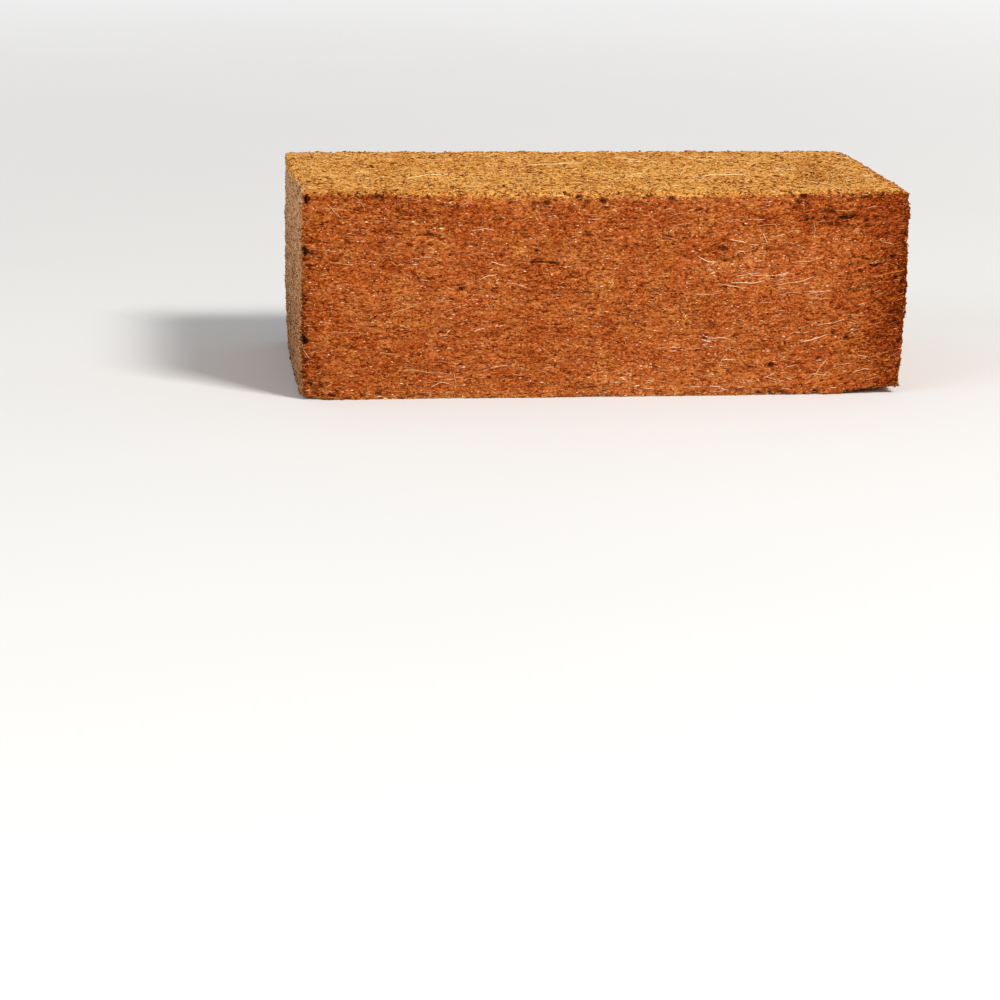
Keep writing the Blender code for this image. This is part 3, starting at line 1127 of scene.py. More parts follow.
@dataclass
class PressedBrick:
    """The bale's mass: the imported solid, remeshed, with bedding, cracks and crumbled rims."""

    voxel: float = 0.00095
    merged_within: float = 0.00001
    most_triangles: int = 150_000
    seed: Vector = field(default_factory=lambda: Vector((11.3, 5.7, 2.9)))
    # The lower rim sags below this height, as far in from the sides as this
    rim_sag: float = 0.0017
    sag_height: float = 10 * MM
    sag_depth: float = 12 * MM
    full_hollow: float = 1.5 * MM
    platen_depth: float = 0.8 * MM
    platen_lumps: tuple[Lumps, ...] = (Lumps(0.34, 150, 150), Lumps(0.36, 400, 400))
    side_rise: float = 0.25
    side_lumps: tuple[Lumps, ...] = (
        Lumps(0.32, 34, 300), Lumps(0.26, 120, 420), Lumps(0.24, 330, 600),
    )
    # Within this reach, in metres, rims are worn by so many millimetres, or more in crumbs
    rim_reach: float = 0.0045
    rim_curve: float = 1.3
    rim_wear: float = 0.10
    rim_crumbs: Lumps = Lumps(1.5, 150, 210)
    crumb_octaves: tuple[float, float, int] = (1.0, 2.1, 3)

    def build(self) -> bpy.types.Object:
        """Make the brick.

        Returns:
            The finished object.
        """
        brick = self._fine_copy()
        places = read_vectors(brick.data, "co")
        moved, hollow, rim = self._weather(places, read_vectors(brick.data, "normal"))
        brick.data.vertices.foreach_set("co", moved.astype(np.float32).ravel())
        write_numbers(brick.data, "hollow", hollow)
        write_numbers(brick.data, "rim", rim)
        TONE_MAP.at(stretched_ends(places)).write(brick.data)
        brick.data.update()
        self._thin(brick)
        thinned = read_vectors(brick.data, "co")
        thinned[:, 2] = np.maximum(thinned[:, 2], LOWEST.z)
        brick.data.vertices.foreach_set("co", thinned.astype(np.float32).ravel())
        brick.data.shade_smooth()
        brick.data.materials.clear()
        brick.data.materials.append(BrickFinish().build())
        return brick

    def _fine_copy(self) -> bpy.types.Object:
        """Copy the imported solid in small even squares.

        Returns:
            The copy.
        """
        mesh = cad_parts["coir_bale"].data.copy()
        merged = bmesh.new()
        merged.from_mesh(mesh)
        bmesh.ops.remove_doubles(merged, verts=merged.verts, dist=self.merged_within)
        merged.to_mesh(mesh)
        merged.free()
        brick = in_scene("coir_brick", mesh)
        fine = brick.modifiers.new("fine", "REMESH")
        fine.mode = "VOXEL"
        fine.voxel_size = self.voxel
        self._apply(brick)
        return brick

    def _thin(self, brick: bpy.types.Object) -> None:
        """Merge triangles until the brick has few enough.

        Args:
            brick: the brick.
        """
        count = triangle_count(brick.data)
        if count > self.most_triangles:
            thin = brick.modifiers.new("thin", "DECIMATE")
            thin.ratio = self.most_triangles / count
            thin.use_collapse_triangulate = True
            self._apply(brick)

    @staticmethod
    def _apply(piece: bpy.types.Object) -> None:
        """Replace a piece's mesh by what its modifiers make of it.

        Args:
            piece: the piece.
        """
        seen = piece.evaluated_get(bpy.context.evaluated_depsgraph_get())
        mesh = bpy.data.meshes.new_from_object(seen)
        piece.modifiers.clear()
        piece.data = mesh

    def _weather(self, places: np.ndarray, outward: np.ndarray) -> tuple[np.ndarray, ...]:
        """Give the brick its relief.

        Args:
            places: the points' places.
            outward: the outward direction at each.

        Returns:
            The new places, how hollow each is from 0 to 1, and how near a rim from 0 to 1.
        """
        gaps = {side: side_gap(places, side) for side in Side}
        second_nearest = np.sort(list(gaps.values()), axis=0)[1]
        rim = np.clip(1 - second_nearest / self.rim_reach, 0, 1)
        on_platen = np.minimum(gaps[Side.TOP], gaps[Side.UNDER]) < self.platen_depth
        sink = self._opened(places, outward)
        rise = self._relief(places, rim, on_platen) - sink
        moved = stretched_ends(places) + outward * rise[:, None]
        to_a_side = np.min([gap for side, gap in gaps.items() if not side.pressed], axis=0)
        low = np.clip(1 - moved[:, 2] / self.sag_height, 0, 1)
        low = low * np.clip(1 - to_a_side / self.sag_depth, 0, 1)
        moved[:, 2] = np.maximum(moved[:, 2] - self.rim_sag * low, LOWEST.z)
        return moved, np.clip(sink / self.full_hollow, 0, 1), rim

    def _relief(self, places: np.ndarray, rim: np.ndarray, on_platen: np.ndarray) -> np.ndarray:
        """Find the height of bedding, lumps, grains and crumbled rims above the smooth brick.

        Args:
            places: the points' places.
            rim: how near a rim each is, from 0 to 1.
            on_platen: whether each lies on a pressed face.

        Returns:
            The height at each.
        """
        relief = np.empty(len(places))
        for i, (place, edge, pressed) in enumerate(zip(places, rim, on_platen)):
            x, y, z = place
            z -= bedding_rise(x)
            base, lumps = (0.0, self.platen_lumps) if pressed else (self.side_rise, self.side_lumps)
            height = sum((lump.at(x, y, z, self.seed) for lump in lumps), start=base)
            if edge > 0:
                where = self.rim_crumbs.place(x, y, z, self.seed)
                crumb = max(0.0, noise.fractal(where, *self.crumb_octaves))
                height -= edge ** self.rim_curve * (self.rim_wear + self.rim_crumbs.high * crumb)
            relief[i] = height * MM
        return relief

    @staticmethod
    def _opened(places: np.ndarray, outward: np.ndarray) -> np.ndarray:
        """Find how deep cracks and pits cut.

        Args:
            places: the points' places.
            outward: the outward direction at each.

        Returns:
            The depth at each.
        """
        sink = np.zeros(len(places))
        random = np.random.default_rng(CRUMBLING_SEED)
        crumbled = [pit for stretch in CRUMBLINGS for pit in stretch.pits(random)]
        for opening in (*CRACKS, *PITS, *crumbled):
            near, depth = opening.cut(places, outward)
            sink[near] = np.maximum(sink[near], depth)
        return sink


@dataclass
class Skin:
    """The brick's surface, for putting things on it."""

    brick: bpy.types.Object
    # A triangle belongs to the side that it faces and is near, weighed by this distance
    side_blend: float = 3 * MM
    # Fibres lie in streaks, features a metre, and more thickly from this place to the right
    streaks: tuple[float, float, float] = (22.0, 22.0, 150.0)
    streaky: float = 1.6
    thicker_from: float = -0.02
    thicker_over: float = 0.10
    thicker_right: float = 0.5
    hollows_lose: float = 0.6
    rim_curve: float = 1.5
    # How far over the surface to start looking for it, and how far to look
    above: float = 6 * MM
    down: float = 16 * MM

    def __post_init__(self) -> None:
        """Read the brick's triangles."""
        mesh = self.brick.data
        mesh.calc_loop_triangles()
        corners = np.empty(len(mesh.loop_triangles) * 3, np.int32)
        mesh.loop_triangles.foreach_get("vertices", corners)
        self.corners = corners.reshape(-1, 3)
        self.points = read_vectors(mesh, "co")
        self.normals = read_vectors(mesh, "normal")
        self.hollow = read_numbers(mesh, "hollow")
        self.rim = read_numbers(mesh, "rim")[self.corners].mean(1)
        first, second, third = (self.points[self.corners[:, k]] for k in range(3))
        self.areas = np.linalg.norm(np.cross(second - first, third - first), axis=1) / 2
        self.centres = (first + second + third) / 3
        self.tree = BVHTree.FromPolygons(self.points.tolist(), self.corners.tolist())
        normals = self.normals[self.corners].mean(1)
        facing = np.stack([normals @ np.array(side.outward) for side in Side])
        gaps = np.stack([side_gap(self.centres, side) for side in Side])
        self.side_numbers = np.argmax(facing - gaps / self.side_blend, axis=0)

    def crowded(self) -> np.ndarray:
        """Find how thickly fibres lie: in streaks along the bedding, and more to the right.

        Returns:
            The thickness at each triangle.
        """
        streaks = np.array([noise.noise(Vector(place)) for place in self.centres * self.streaks])
        right = np.clip((self.centres[:, 0] - self.thicker_from) / self.thicker_over, 0, 1)
        return np.exp(self.streaky * streaks + self.thicker_right * right)

    def scatter(self, count: int, sides: dict[Side, float], random: np.random.Generator,
                crowding: float = 0.0, on_rims: bool = False) -> tuple[np.ndarray, ...]:
        """Pick places on the surface.

        Args:
            count: how many.
            sides: how thickly each side is strewn.
            random: where chance comes from.
            crowding: from 0, spread evenly, to 1, in streaks.
            on_rims: whether to keep to the crumbled rims.

        Returns:
            The places, the outward direction at each, the number of the side that each is on, and
            how hollow the surface is there.
        """
        thickness = np.array([sides.get(side, 0.0) for side in Side])
        open_share = 1 - self.hollows_lose * self.hollow[self.corners].mean(1)
        weight = self.areas * thickness[self.side_numbers] * open_share
        if crowding:
            weight = weight * self.crowded() ** crowding
        if on_rims:
            weight = weight * self.rim ** self.rim_curve
        chosen = random.choice(len(weight), count, p=weight / weight.sum())
        corners = self.corners[chosen]
        shares = random.dirichlet((1.0, 1.0, 1.0), count)[:, :, None]
        places = (self.points[corners] * shares).sum(1)
        outward = (self.normals[corners] * shares).sum(1)
        outward /= np.linalg.norm(outward, axis=1)[:, None]
        hollow = (self.hollow[corners] * shares[:, :, 0]).sum(1)
        return places, outward, self.side_numbers[chosen], hollow

    def depth_under(self, place: Vector, side: Side) -> float | None:
        """Find the surface straight under a place over a side.

        Args:
            place: the place.
            side: the side.

        Returns:
            How far out from the side's plane the surface is, or None where there is none.
        """
        outward = side.outward
        start = place + outward * ((side.middle - place).dot(outward) + self.above)
        hit = self.tree.ray_cast(start, -outward, self.down)[0]
        return None if hit is None else (hit - side.middle).dot(outward)


# The share of flakes and fibres on the four sides that lie any way at all
ASKEW = 0.04


def headings(sides: np.ndarray, places: np.ndarray, spread: float,
             random: np.random.Generator) -> np.ndarray:
    """Pick how things lie: along the bedding on the sides, every way on the pressed faces.

    Args:
        sides: the number of the side that each is on.
        places: where each is.
        spread: how far the things on the four sides stray from the bedding, in radians.
        random: where chance comes from.

    Returns:
        One direction a row, in the plane of the side.
    """
    count = len(sides)
    stray = random.laplace(0.0, spread, count)
    is_askew = random.random(count) < ASKEW
    stray = np.where(is_askew, random.uniform(-math.pi / 2, math.pi / 2, count), stray)
    every_way = random.uniform(0, math.pi, count)
    slope = np.where(per_side("lengthwise", sides), bedding_slope(places[:, 0]), 0.0)
    angle = np.where(per_side("pressed", sides), every_way, slope + stray)[:, None]
    return per_side("along", sides) * np.cos(angle) + per_side("across", sides) * np.sin(angle)


# The margin of each small thing's square on the map that colours are baked through, as a share
MAP_MARGIN = 0.16


def bake_map(mesh: bpy.types.Mesh, corners_each: int, count: int, inner: np.ndarray) -> None:
    """Give each small thing a square of its own on the map that colours are baked through.

    Args:
        mesh: the joined mesh.
        corners_each: how many face corners each thing has.
        count: how many things there are.
        inner: where one thing's face corners are in its square, from 0 to 1.
    """
    columns = math.ceil(math.sqrt(count))
    row, column = np.divmod(np.repeat(np.arange(count), corners_each), columns)
    placed = MAP_MARGIN + (1 - 2 * MAP_MARGIN) * np.tile(inner, (count, 1))
    where = np.stack([(column + placed[:, 0]) / columns, (row + placed[:, 1]) / columns], axis=1)
    layer = mesh.uv_layers.new(name="OFBake")
    layer.uv.foreach_set("vector", where.astype(np.float32).ravel())


@dataclass(frozen=True)
class TintMix:
    """How the tints of many flakes or fibres are shared out."""

    shares: tuple[float, ...]
    tints: tuple[float, ...]
    blur: float = 0.07

    def draw(self, count: int, random: np.random.Generator) -> np.ndarray:
        """Pick a tint for each of so many things.

        Args:
            count: how many things.
            random: where chance comes from.

        Returns:
            The tints, from 0 to 1.
        """
        chances = np.array(self.shares) / sum(self.shares)
        tints = np.array(self.tints)[random.choice(len(self.tints), count, p=chances)]
        return np.clip(tints + random.normal(0, self.blur, count), 0.0, 1.0)


@dataclass
class Flakes:
    """Flakes and grains of pith pressed into the surface, with their sizes in millimetres."""

    name: str
    count: int
    sides: dict[Side, float]
    tints: TintMix
    finish: LooseFinish
    seed: int
    length: float
    slimness: float
    thickness: float = 0.40
    widest: float = 1.15
    spread: float = 0.22
    proud: float = 0.10
    on_rims: bool = False
    # Flakes paler than this are shorter and no wider than this
    pale: float = 0.66
    pale_length: float = 0.66
    pale_widest: float = 0.6
    narrowest: float = 0.26
    longest: float = 2.0
    # How unevenly long, slim and thick they are, how far they tilt and how ragged they are
    uneven: tuple[float, float, float] = (0.42, 0.35, 0.25)
    tilt: float = 0.16
    most_tilt: float = 0.26
    ragged: float = 0.35
    raised: tuple[float, float] = (-0.5, 0.6)

    def build(self, skin: Skin) -> bpy.types.Object:
        """Make the flakes.

        Args:
            skin: the surface that they lie on.

        Returns:
            One object that holds them all.
        """
        random = np.random.default_rng(self.seed)
        places, outward, sides, hollow = skin.scatter(
            self.count, self.sides, random, on_rims=self.on_rims)
        tints = self.tints.draw(self.count, random)
        axes = self._axes(headings(sides, places, self.spread, random), outward, random)
        half = self._half_sizes(tints, random)
        shape, triangles = self._shape()
        size = len(shape)
        jitter = 1 + random.uniform(-self.ragged, self.ragged, (self.count, size, 3))
        local = shape[None] * jitter * half[:, None, :]
        rise = half[:, 2] * random.uniform(*self.raised, self.count) + self.proud * MM / 2
        middles = places + axes[:, 2] * rise[:, None]
        points = middles[:, None, :] + np.einsum("nvk,nkd->nvd", local, axes)
        faces = triangles[None] + (np.arange(self.count) * size)[:, None, None]
        mesh = mesh_from_arrays(self.name, held_in(points.reshape(-1, 3)), faces.reshape(-1, 3))
        write_numbers(mesh, "tint", np.repeat(tints, size))
        # How hollow the surface under each flake is, for its painted shade
        write_numbers(mesh, "hollow", np.repeat(hollow, size))
        TONE_MAP.at(np.repeat(places, size, axis=0)).write(mesh)
        seen_from_above = (shape[triangles.ravel()][:, :2] + 1) / 2
        bake_map(mesh, triangles.size, self.count, seen_from_above)
        mesh.materials.append(self.finish.build())
        return in_scene(self.name, mesh)

    def _axes(self, heading: np.ndarray, outward: np.ndarray,
              random: np.random.Generator) -> np.ndarray:
        """Tilt the flakes a little, each its own way.

        Args:
            heading: the direction in which each lies.
            outward: the outward direction of the surface at each.
            random: where chance comes from.

        Returns:
            Each flake's own directions: ahead, beside and out.
        """
        tilt = random.normal(0, self.tilt, outward.shape)
        outward = outward + np.clip(tilt, -self.most_tilt, self.most_tilt)
        outward /= np.linalg.norm(outward, axis=1)[:, None]
        heading = heading - outward * (heading * outward).sum(1)[:, None]
        heading /= np.linalg.norm(heading, axis=1)[:, None]
        return np.stack([heading, np.cross(outward, heading), outward], axis=1)

    def _half_sizes(self, tints: np.ndarray, random: np.random.Generator) -> np.ndarray:
        """Pick the flakes' sizes: the palest are the smallest.

        Args:
            tints: each flake's tint.
            random: where chance comes from.

        Returns:
            Half of each one's length, width and thickness, in metres.
        """
        is_pale = tints > self.pale
        uneven_length, uneven_slimness, uneven_thickness = self.uneven
        length = np.minimum(random.lognormal(0.0, uneven_length, self.count), self.longest)
        length = self.length * length * np.where(is_pale, self.pale_length, 1.0)
        width = length / (self.slimness * random.lognormal(0.0, uneven_slimness, self.count))
        width = np.clip(width, self.narrowest, np.where(is_pale, self.pale_widest, self.widest))
        thick = self.thickness * random.lognormal(0.0, uneven_thickness, self.count)
        return np.stack([length, width, np.minimum(thick, width)], axis=1) * MM / 2

    @staticmethod
    def _shape() -> tuple[np.ndarray, np.ndarray]:
        """Shape an eight-sided grain.

        Returns:
            Its points, within a ball of unit radius, and its triangles.
        """
        grain = bmesh.new()
        bmesh.ops.create_uvsphere(grain, u_segments=4, v_segments=2, radius=1.0)
        bmesh.ops.recalc_face_normals(grain, faces=grain.faces)
        grain.verts.ensure_lookup_table()
        points = np.array([v.co for v in grain.verts])
        triangles = np.array([[v.index for v in f.verts] for f in grain.faces])
        grain.free()
        return points, triangles


@dataclass
class Fibres:
    """Coir fibres that lie on the surface, half buried in it, with their sizes in millimetres."""

    name: str
    count: int
    sides: dict[Side, float]
    tints: TintMix
    finish: LooseFinish
    seed: int
    length: float
    radius: float
    rings: int = 9
    spread: float = 0.20
    curl: float = 9.0
    lift: float = 0.22
    sprung: float = 0.07
    crowding: float = 0.8
    highest: float = 1.7
    uneven_length: float = 0.5
    uneven_radius: float = 0.28
    # The fibres are paler from this place to the right, in metres
    paler_from: float = 0.01
    paler_over: float = 0.06
    paler_right: float = 0.12
    # They sway by so many radians once in so many millimetres, and end so far past an edge
    sway: float = 0.12
    sway_length: float = 3.5
    past_edge: tuple[float, float] = (-1.5, 0.5)
    # Over deep hollows they bridge, and where the surface drops away they stop
    unseen: float = -2
    dropped: float = -3.5
    lowest: float = -1.6
    stops: float = 0.15
    stop_dip: float = 0.1
    # How high the sprung ones stand, how deep ends are buried, and how many have an end free
    sprung_lift: tuple[float, float] = (0.6, 1.5)
    sprung_buried: float = 0.25
    buried: float = 0.12
    free_ends: float = 0.4
    free_curve: float = 1.5

    def build(self, skin: Skin) -> bpy.types.Object:
        """Make the fibres.

        Args:
            skin: the surface that they lie on.

        Returns:
            One object that holds them all.
        """
        random = np.random.default_rng(self.seed)
        places, _, sides, _ = skin.scatter(self.count, self.sides, random, self.crowding)
        heading = headings(sides, places, self.spread, random)
        lengths = self.length * MM * random.lognormal(0.0, self.uneven_length, self.count)
        lines = self._lines(places, heading, sides, lengths, random)
        lines = self._laid(lines, sides, skin, random)
        radii = self.radius * MM * random.lognormal(0.0, self.uneven_radius, self.count)
        right = np.clip((places[:, 0] - self.paler_from) / self.paler_over, 0, 1)
        tints = self.tints.draw(self.count, random) + self.paler_right * right
        tints = np.clip(tints - self.paler_right / 2, 0, 1)
        mesh = tube_mesh(self.name, lines, per_side("outward", sides), radii, tints)
        mesh.materials.append(self.finish.build())
        return in_scene(self.name, mesh)

    def _lines(self, places: np.ndarray, heading: np.ndarray, sides: np.ndarray,
               lengths: np.ndarray, random: np.random.Generator) -> np.ndarray:
        """Draw curved lines across the sides, cut short soon after they pass an edge.

        Args:
            places: where each line's middle is.
            heading: the direction in which each lies.
            sides: the number of the side that each is on.
            lengths: how long each is.
            random: where chance comes from.

        Returns:
            The points of each line, on its side's plane.
        """
        along, across, middle = (per_side(name, sides) for name in ("along", "across", "middle"))
        offset = places - middle
        here = np.stack([(offset * along).sum(1), (offset * across).sum(1)], axis=1)
        angle = np.arctan2((heading * across).sum(1), (heading * along).sum(1))
        bend = random.normal(0, self.curl, self.count)
        sway = random.normal(0, self.sway, self.count)
        phase = random.uniform(0, 2 * math.pi, self.count)
        over = random.uniform(*self.past_edge, self.count) * MM
        limit = per_side("half_span", sides) + over[:, None]
        step = lengths / (self.rings - 1)
        half = self.rings // 2
        path = np.empty((self.count, self.rings, 2))
        path[:, half] = here
        for way in (1, -1):
            spot = here.copy()
            for k in range(1, half + 1):
                run = way * (k - 0.5) * step
                turned = angle + bend * run + sway * np.sin(phase + run / (self.sway_length * MM))
                ahead = np.stack([np.cos(turned), np.sin(turned)], axis=1)
                spot = np.clip(spot + way * step[:, None] * ahead, -limit, limit)
                path[:, half + way * k] = spot
        return middle[:, None] + path[..., :1] * along[:, None] + path[..., 1:] * across[:, None]

    def _laid(self, lines: np.ndarray, sides: np.ndarray, skin: Skin,
              random: np.random.Generator) -> np.ndarray:
        """Lower the lines onto the surface: stiff, so they bridge small hollows.

        Args:
            lines: the points of each line, on its side's plane.
            sides: the number of the side that each is on.
            skin: the surface that they lie on.
            random: where chance comes from.

        Returns:
            The points of each line, on the surface.
        """
        depth = self._depths(lines, sides, skin)
        for _ in range(2):
            padded = np.pad(depth, ((0, 0), (1, 1)), mode="edge")
            depth = np.maximum(depth, (padded[:, :-2] + 2 * depth + padded[:, 2:]) / 4)
        share = np.linspace(0, 1, self.rings)[None]
        one_each = (self.count, 1)
        rise = self.lift * MM * random.uniform(0.0, 1.0, one_each)
        is_sprung = random.random(one_each) < self.sprung
        rise = np.where(is_sprung, random.uniform(*self.sprung_lift, one_each) * MM, rise)
        buried = np.where(is_sprung, self.sprung_buried, self.buried) * MM
        free_end = is_sprung & (random.random(one_each) < self.free_ends)
        profile = np.where(free_end, share ** self.free_curve, np.sin(math.pi * share))
        ends_out = np.array([STANDS_OUT.get(side, 0.0) for side in Side])[sides]
        ceiling = (self.highest + ends_out)[:, None] * MM
        height = np.minimum(depth + rise * profile - buried * (1 - profile), ceiling)
        return lines + per_side("outward", sides)[:, None] * height[..., None]

    def _depths(self, lines: np.ndarray, sides: np.ndarray, skin: Skin) -> np.ndarray:
        """Find the surface under each point of the lines, from their middles to their ends.

        Args:
            lines: the points of each line, which stop where the surface drops away.
            sides: the number of the side that each is on.
            skin: the surface that they lie on.

        Returns:
            How far out from its side's plane the surface is at each point.
        """
        all_sides = list(Side)
        depth = np.zeros(lines.shape[:2])
        half = self.rings // 2
        for i, number in enumerate(sides):
            side = all_sides[number]
            found = skin.depth_under(Vector(lines[i, half]), side)
            depth[i, half] = self.unseen * MM if found is None else found
            for way in (1, -1):
                for k in range(half + way, half + way * (half + 1), way):
                    found = skin.depth_under(Vector(lines[i, k]), side)
                    if found is None or found < self.dropped * MM:
                        last = lines[i, k - way] * (1 - self.stops)
                        lines[i, k] = last + lines[i, k] * self.stops
                        depth[i, k] = depth[i, k - way] - self.stop_dip * MM
                    else:
                        depth[i, k] = max(found, self.lowest * MM)
        return depth


@dataclass
class StrayFibres:
    """The stray fibres, each where it was laid, with sizes in millimetres."""

    name: str
    strands: tuple[Strand, ...]
    finish: LooseFinish
    rings: int = 15
    seed: int = 41
    # Their waves, as shares of their length, and how many radians a wave goes through
    waves: tuple[float, float] = (0.012, 0.03)
    wave_turns: float = 9
    unseen: float = -1.0
    lowest: float = -1.2
    highest: float = 1.7
    buried: float = 0.2
    arch_curve: float = 0.6

    def build(self, skin: Skin) -> bpy.types.Object:
        """Make the fibres.

        Args:
            skin: the surface that they lie on.

        Returns:
            One object that holds them all.
        """
        random = np.random.default_rng(self.seed)
        lines = np.array([self._laid(strand, skin, random) for strand in self.strands])
        outward = np.array([strand.side.outward for strand in self.strands])
        radii = np.array([strand.radius * MM for strand in self.strands])
        tints = np.array([strand.tint for strand in self.strands])
        mesh = tube_mesh(self.name, lines, outward, radii, tints)
        mesh.materials.append(self.finish.build())
        return in_scene(self.name, mesh)

    def _laid(self, strand: Strand, skin: Skin, random: np.random.Generator) -> np.ndarray:
        """Lay one fibre over the surface, with its two ends buried.

        Args:
            strand: the fibre.
            skin: the surface that it lies on.
            random: where chance comes from.

        Returns:
            The points of its line.
        """
        start, end = np.array(strand.start), np.array(strand.end)
        run = end - start
        left = np.array([-run[1], run[0]])
        phase, wave = random.uniform(0, 2 * math.pi), random.uniform(*self.waves)
        line = []
        for share in np.linspace(0, 1, self.rings):
            sway = wave * math.sin(phase + self.wave_turns * share) * share * (1 - share) * 4
            bend = strand.bow * 4 * share * (1 - share) + sway
            place = strand.side.place(*(start + run * share + left * bend))
            depth = skin.depth_under(place, strand.side)
            depth = self.unseen * MM if depth is None else max(depth, self.lowest * MM)
            arch = math.sin(math.pi * share) ** self.arch_curve
            height = depth + (strand.proud * arch - self.buried * (1 - arch)) * MM
            line.append(place + strand.side.outward * min(height, self.highest * MM))
        return np.array(line)


# A fibre's ends are this share of its thickness, and it thickens with this power towards them
END_THICKNESS = 0.35
TAPER_POWER = 4
# Keeps a line of no length from having no direction
TINY = 1e-12


def tube_mesh(name: str, lines: np.ndarray, outward: np.ndarray, radii: np.ndarray,
              tints: np.ndarray) -> bpy.types.Mesh:
    """Make three-sided tubes along lines, thin at their ends.

    Args:
        name: the mesh's name.
        lines: the points of each line.
        outward: the direction away from the surface, for each line.
        radii: each tube's radius.
        tints: each tube's tint.

    Returns:
        One mesh that holds them all.
    """
    count, cuts = lines.shape[:2]
    shape, rings, triangles = rod_shape(cuts)
    size = len(shape)
    tangent = np.gradient(lines, axis=1)
    tangent /= np.linalg.norm(tangent, axis=2)[..., None] + TINY
    beside = np.cross(tangent, outward[:, None])
    beside /= np.linalg.norm(beside, axis=2)[..., None] + TINY
    above = np.cross(beside, tangent)
    share = np.linspace(0, 1, cuts)
    taper = np.sqrt(np.clip(1 - (2 * share - 1) ** TAPER_POWER, 0, 1))
    taper = END_THICKNESS + (1 - END_THICKNESS) * taper
    reach = (radii[:, None] * taper[None])[:, rings][..., None]
    points = (
        lines[:, rings]
        + beside[:, rings] * shape[None, :, :1] * reach
        + above[:, rings] * shape[None, :, 1:] * reach
    )
    faces = triangles[None] + (np.arange(count) * size)[:, None, None]
    mesh = mesh_from_arrays(name, held_in(points.reshape(-1, 3)), faces.reshape(-1, 3))
    mesh.shade_smooth()
    write_numbers(mesh, "tint", np.repeat(tints, size))
    TONE_MAP.at(np.repeat(lines[:, cuts // 2], size, axis=0)).write(mesh)
    around = (np.arctan2(shape[:, 1], shape[:, 0]) / (2 * math.pi)) % 1
    unrolled = np.stack([share[rings], around], axis=1)[triangles.ravel()]
    bake_map(mesh, triangles.size, count, unrolled)
    return mesh


def rod_shape(cuts: int) -> tuple[np.ndarray, np.ndarray, np.ndarray]:
    """Shape a three-sided rod of unit radius, cut into rings.

    Args:
        cuts: how many rings.

    Returns:
        Each point's place round the rod, the number of its ring, and the triangles.
    """
    rod = bmesh.new()
    bmesh.ops.create_cone(rod, cap_ends=True, segments=3, radius1=1.0, radius2=1.0, depth=1.0)
    for k in range(1, cuts - 1):
        height = k / (cuts - 1) - 0.5
        everything = rod.verts[:] + rod.edges[:] + rod.faces[:]
        bmesh.ops.bisect_plane(rod, geom=everything, plane_co=(0, 0, height), plane_no=(0, 0, 1))
    bmesh.ops.triangulate(rod, faces=rod.faces)
    bmesh.ops.recalc_face_normals(rod, faces=rod.faces)
    rod.verts.index_update()
    places = np.array([v.co for v in rod.verts])
    triangles = np.array([[v.index for v in f.verts] for f in rod.faces])
    rod.free()
    rings = np.rint((places[:, 2] + 0.5) * (cuts - 1)).astype(int)
    return places[:, :2], rings, triangles


@dataclass(frozen=True)
class Lamp:
    """A square lamp that looks at the bale, with its place and size in metres."""

    name: str
    place: tuple[float, float, float]
    size: float
    power: float
    colour: tuple[float, float, float]

    def build(self) -> None:
        """Make the lamp."""
        data = bpy.data.lights.new(self.name, "AREA")
        data.size = self.size
        data.energy = self.power
        data.color = self.colour
        lamp = in_scene(self.name, data)
        lamp.location = self.place
        aim = Vector((0, 0, HEIGHT / 2)) - Vector(self.place)
        lamp.rotation_euler = aim.to_track_quat("-Z", "Y").to_euler()


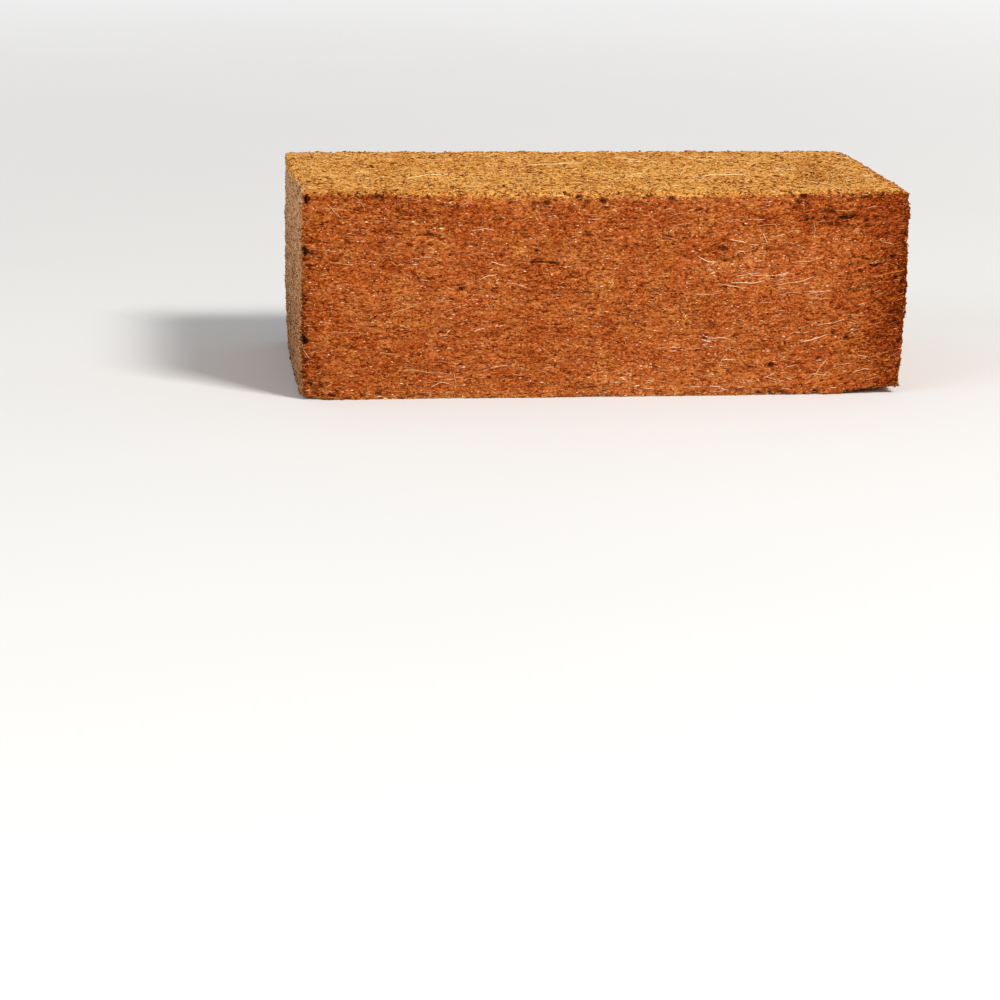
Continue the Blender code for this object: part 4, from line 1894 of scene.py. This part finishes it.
@dataclass
class Studio:
    """A plain pale floor, a pale room, soft lamps and the camera."""

    # A broad lamp high on the right in front, and a weak one on the left
    lamps: tuple[Lamp, ...] = (
        Lamp("key_light", (2.0, -2.3, 3.0), 1.1, 190.0, (1.0, 0.97, 0.92)),
        Lamp("fill_light", (-2.6, -1.6, 1.2), 2.0, 34.0, (0.95, 0.97, 1.0)),
    )
    room_light: float = 0.45
    floor_half: float = 9.0
    floor_mottle: Cloud = Cloud(3, 2, 0.5)
    floor_colours: tuple = ((0.70, 0.70, 0.70, 1), (0.73, 0.73, 0.73, 1))
    # The floor gives off more light from the first distance to the second
    glow_between: tuple[float, float] = (0.2, 3.2)
    glow_colours: tuple = ((0.0, 0.0, 0.0, 1), (0.42, 0.42, 0.43, 1))
    # The camera, in millimetres of lens, metres and degrees
    lens: float = 109.87
    sensor: float = 36.0
    nearest: float = 0.05
    eye: tuple[float, float, float] = (-0.2250, -1.5421, 0.3168)
    turn: float = 6.76
    pitch: float = 14.03
    roll: float = 0.79

    def build(self) -> None:
        """Make the floor, the lights and the camera."""
        self._floor()
        for lamp in self.lamps:
            lamp.build()
        self._room()
        self._camera()

    def _floor(self) -> None:
        """Make a wide floor at the height of the underside."""
        sheet = bmesh.new()
        bmesh.ops.create_grid(sheet, x_segments=1, y_segments=1, size=self.floor_half)
        mesh = bpy.data.meshes.new("floor")
        sheet.to_mesh(mesh)
        sheet.free()
        tree = ShaderTree("pale_floor")
        places = tree.places()
        colour = tree.mixed(tree.cloud(places, self.floor_mottle), *self.floor_colours)
        length = {"operation": "LENGTH"}
        away = tree.node("ShaderNodeVectorMath", length, {0: places}, output="Value")
        glow = tree.mixed(away.smooth_step(*self.glow_between), *self.glow_colours)
        mesh.materials.append(tree.finish(colour, roughness=0.9, specular=0.1, glow=glow))
        floor = in_scene("floor", mesh)

    def _room(self) -> None:
        """Light everything evenly from all round."""
        world = bpy.data.worlds.new("pale_room")
        world.use_nodes = True
        background = world.node_tree.nodes["Background"]
        background.inputs["Color"].default_value = (1.0, 1.0, 1.0, 1.0)
        background.inputs["Strength"].default_value = self.room_light
        bpy.context.scene.world = world
        bpy.context.scene.view_settings.view_transform = "Standard"

    def _camera(self) -> None:
        """Put the camera where the photographer stood."""
        turn, pitch, roll = (math.radians(a) for a in (self.turn, self.pitch, self.roll))
        ahead = Vector((
            math.sin(turn) * math.cos(pitch),
            math.cos(turn) * math.cos(pitch),
            -math.sin(pitch),
        ))
        level = ahead.cross(UP).normalized()
        upright = level.cross(ahead)
        right = level * math.cos(roll) + upright * math.sin(roll)
        axes = Matrix((right, right.cross(ahead), -ahead)).transposed().to_4x4()
        data = bpy.data.cameras.new("camera")
        data.lens = self.lens
        data.sensor_width = self.sensor
        data.clip_start = self.nearest
        camera = in_scene("camera", data)
        camera.matrix_world = Matrix.Translation(self.eye) @ axes
        bpy.context.scene.camera = camera


@dataclass
class CoirBale:
    """The whole bale: its brick, its flakes of pith and its fibres."""

    four_sides: dict[Side, float] = field(default_factory=lambda: {
        Side.FRONT: 1.0, Side.BACK: 1.0, Side.LEFT: 0.9, Side.RIGHT: 1.0,
    })
    pressed_faces: dict[Side, float] = field(
        default_factory=lambda: {Side.TOP: 1.0, Side.UNDER: 0.6})
    all_sides: dict[Side, float] = field(default_factory=lambda: {side: 1.0 for side in Side})

    def build(self) -> None:
        """Make the brick, and then what lies on it."""
        brick = PressedBrick().build()
        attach(brick, BODY)
        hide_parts("coir_bale")
        LOG.info("%s: %d triangles", brick.name, triangle_count(brick.data))
        skin = Skin(brick)
        for layer in self._layers():
            piece = layer.build(skin)
            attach(piece, BODY)
            LOG.info("%s: %d triangles", piece.name, triangle_count(piece.data))

    def _layers(self) -> list[Flakes | Fibres | StrayFibres]:
        """List the flakes and fibres.

        Returns:
            The layers, coarse to fine.
        """
        pith = TintMix((0.28, 0.35, 0.17, 0.135, 0.065), (0.11, 0.35, 0.54, 0.77, 0.96))
        pressed_pith = TintMix(
            (0.20, 0.26, 0.30, 0.18, 0.06), (0.05, 0.34, 0.54, 0.76, 0.94), blur=0.09)
        crumbs = TintMix((0.60, 0.25, 0.15), (0.06, 0.26, 0.46), blur=0.06)
        rim_crumbs = TintMix((0.36, 0.36, 0.28), (0.10, 0.32, 0.52))
        fibre = TintMix((0.16, 0.34, 0.31, 0.19), (0.18, 0.48, 0.68, 0.86))
        flake = LooseFinish("pith_flake", roughness=0.88, specular=0.04, mottle=0.42)
        coir = LooseFinish("coir_fibre", roughness=0.62, specular=0.25, mottle=0.30)
        return [
            Flakes("pith_on_sides", 21_000, self.four_sides, pith, flake, seed=21,
                   length=2.7, slimness=5.0, spread=0.16),
            Flakes("fine_pith_on_sides", 19_000, self.four_sides, pith, flake, seed=22,
                   length=1.3, slimness=2.2, spread=0.32),
            Flakes("crumbs_on_rims", 3_000, self.all_sides, rim_crumbs, flake, seed=24,
                   length=1.5, slimness=1.6, thickness=0.8, widest=1.3, proud=0.3, on_rims=True),
            Flakes("crumbs_on_pressed_faces", 2_300, self.pressed_faces, crumbs, flake, seed=25,
                   length=2.7, slimness=1.6, thickness=0.5, widest=2.0, proud=0.12),
            Flakes("pith_on_pressed_faces", 24_000, self.pressed_faces, pressed_pith, flake,
                   seed=23, length=2.2, slimness=3.2, thickness=0.3, proud=0.0),
            Fibres("fibres_on_sides", 3_900, self.four_sides, fibre, coir, seed=31,
                   length=5.0, radius=0.17, spread=0.12),
            Fibres("fibres_on_pressed_faces", 1_500, self.pressed_faces, fibre, coir, seed=32,
                   length=5.5, radius=0.15, curl=30.0, lift=0.10, sprung=0.03, crowding=0.2),
            StrayFibres("stray_fibres", STRANDS, coir),
        ]


def main() -> None:
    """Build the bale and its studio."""
    logging.basicConfig(level=logging.INFO, format="%(name)s %(message)s")
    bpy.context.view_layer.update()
    Studio().build()
    CoirBale().build()


if __name__ == "__main__":
    main()
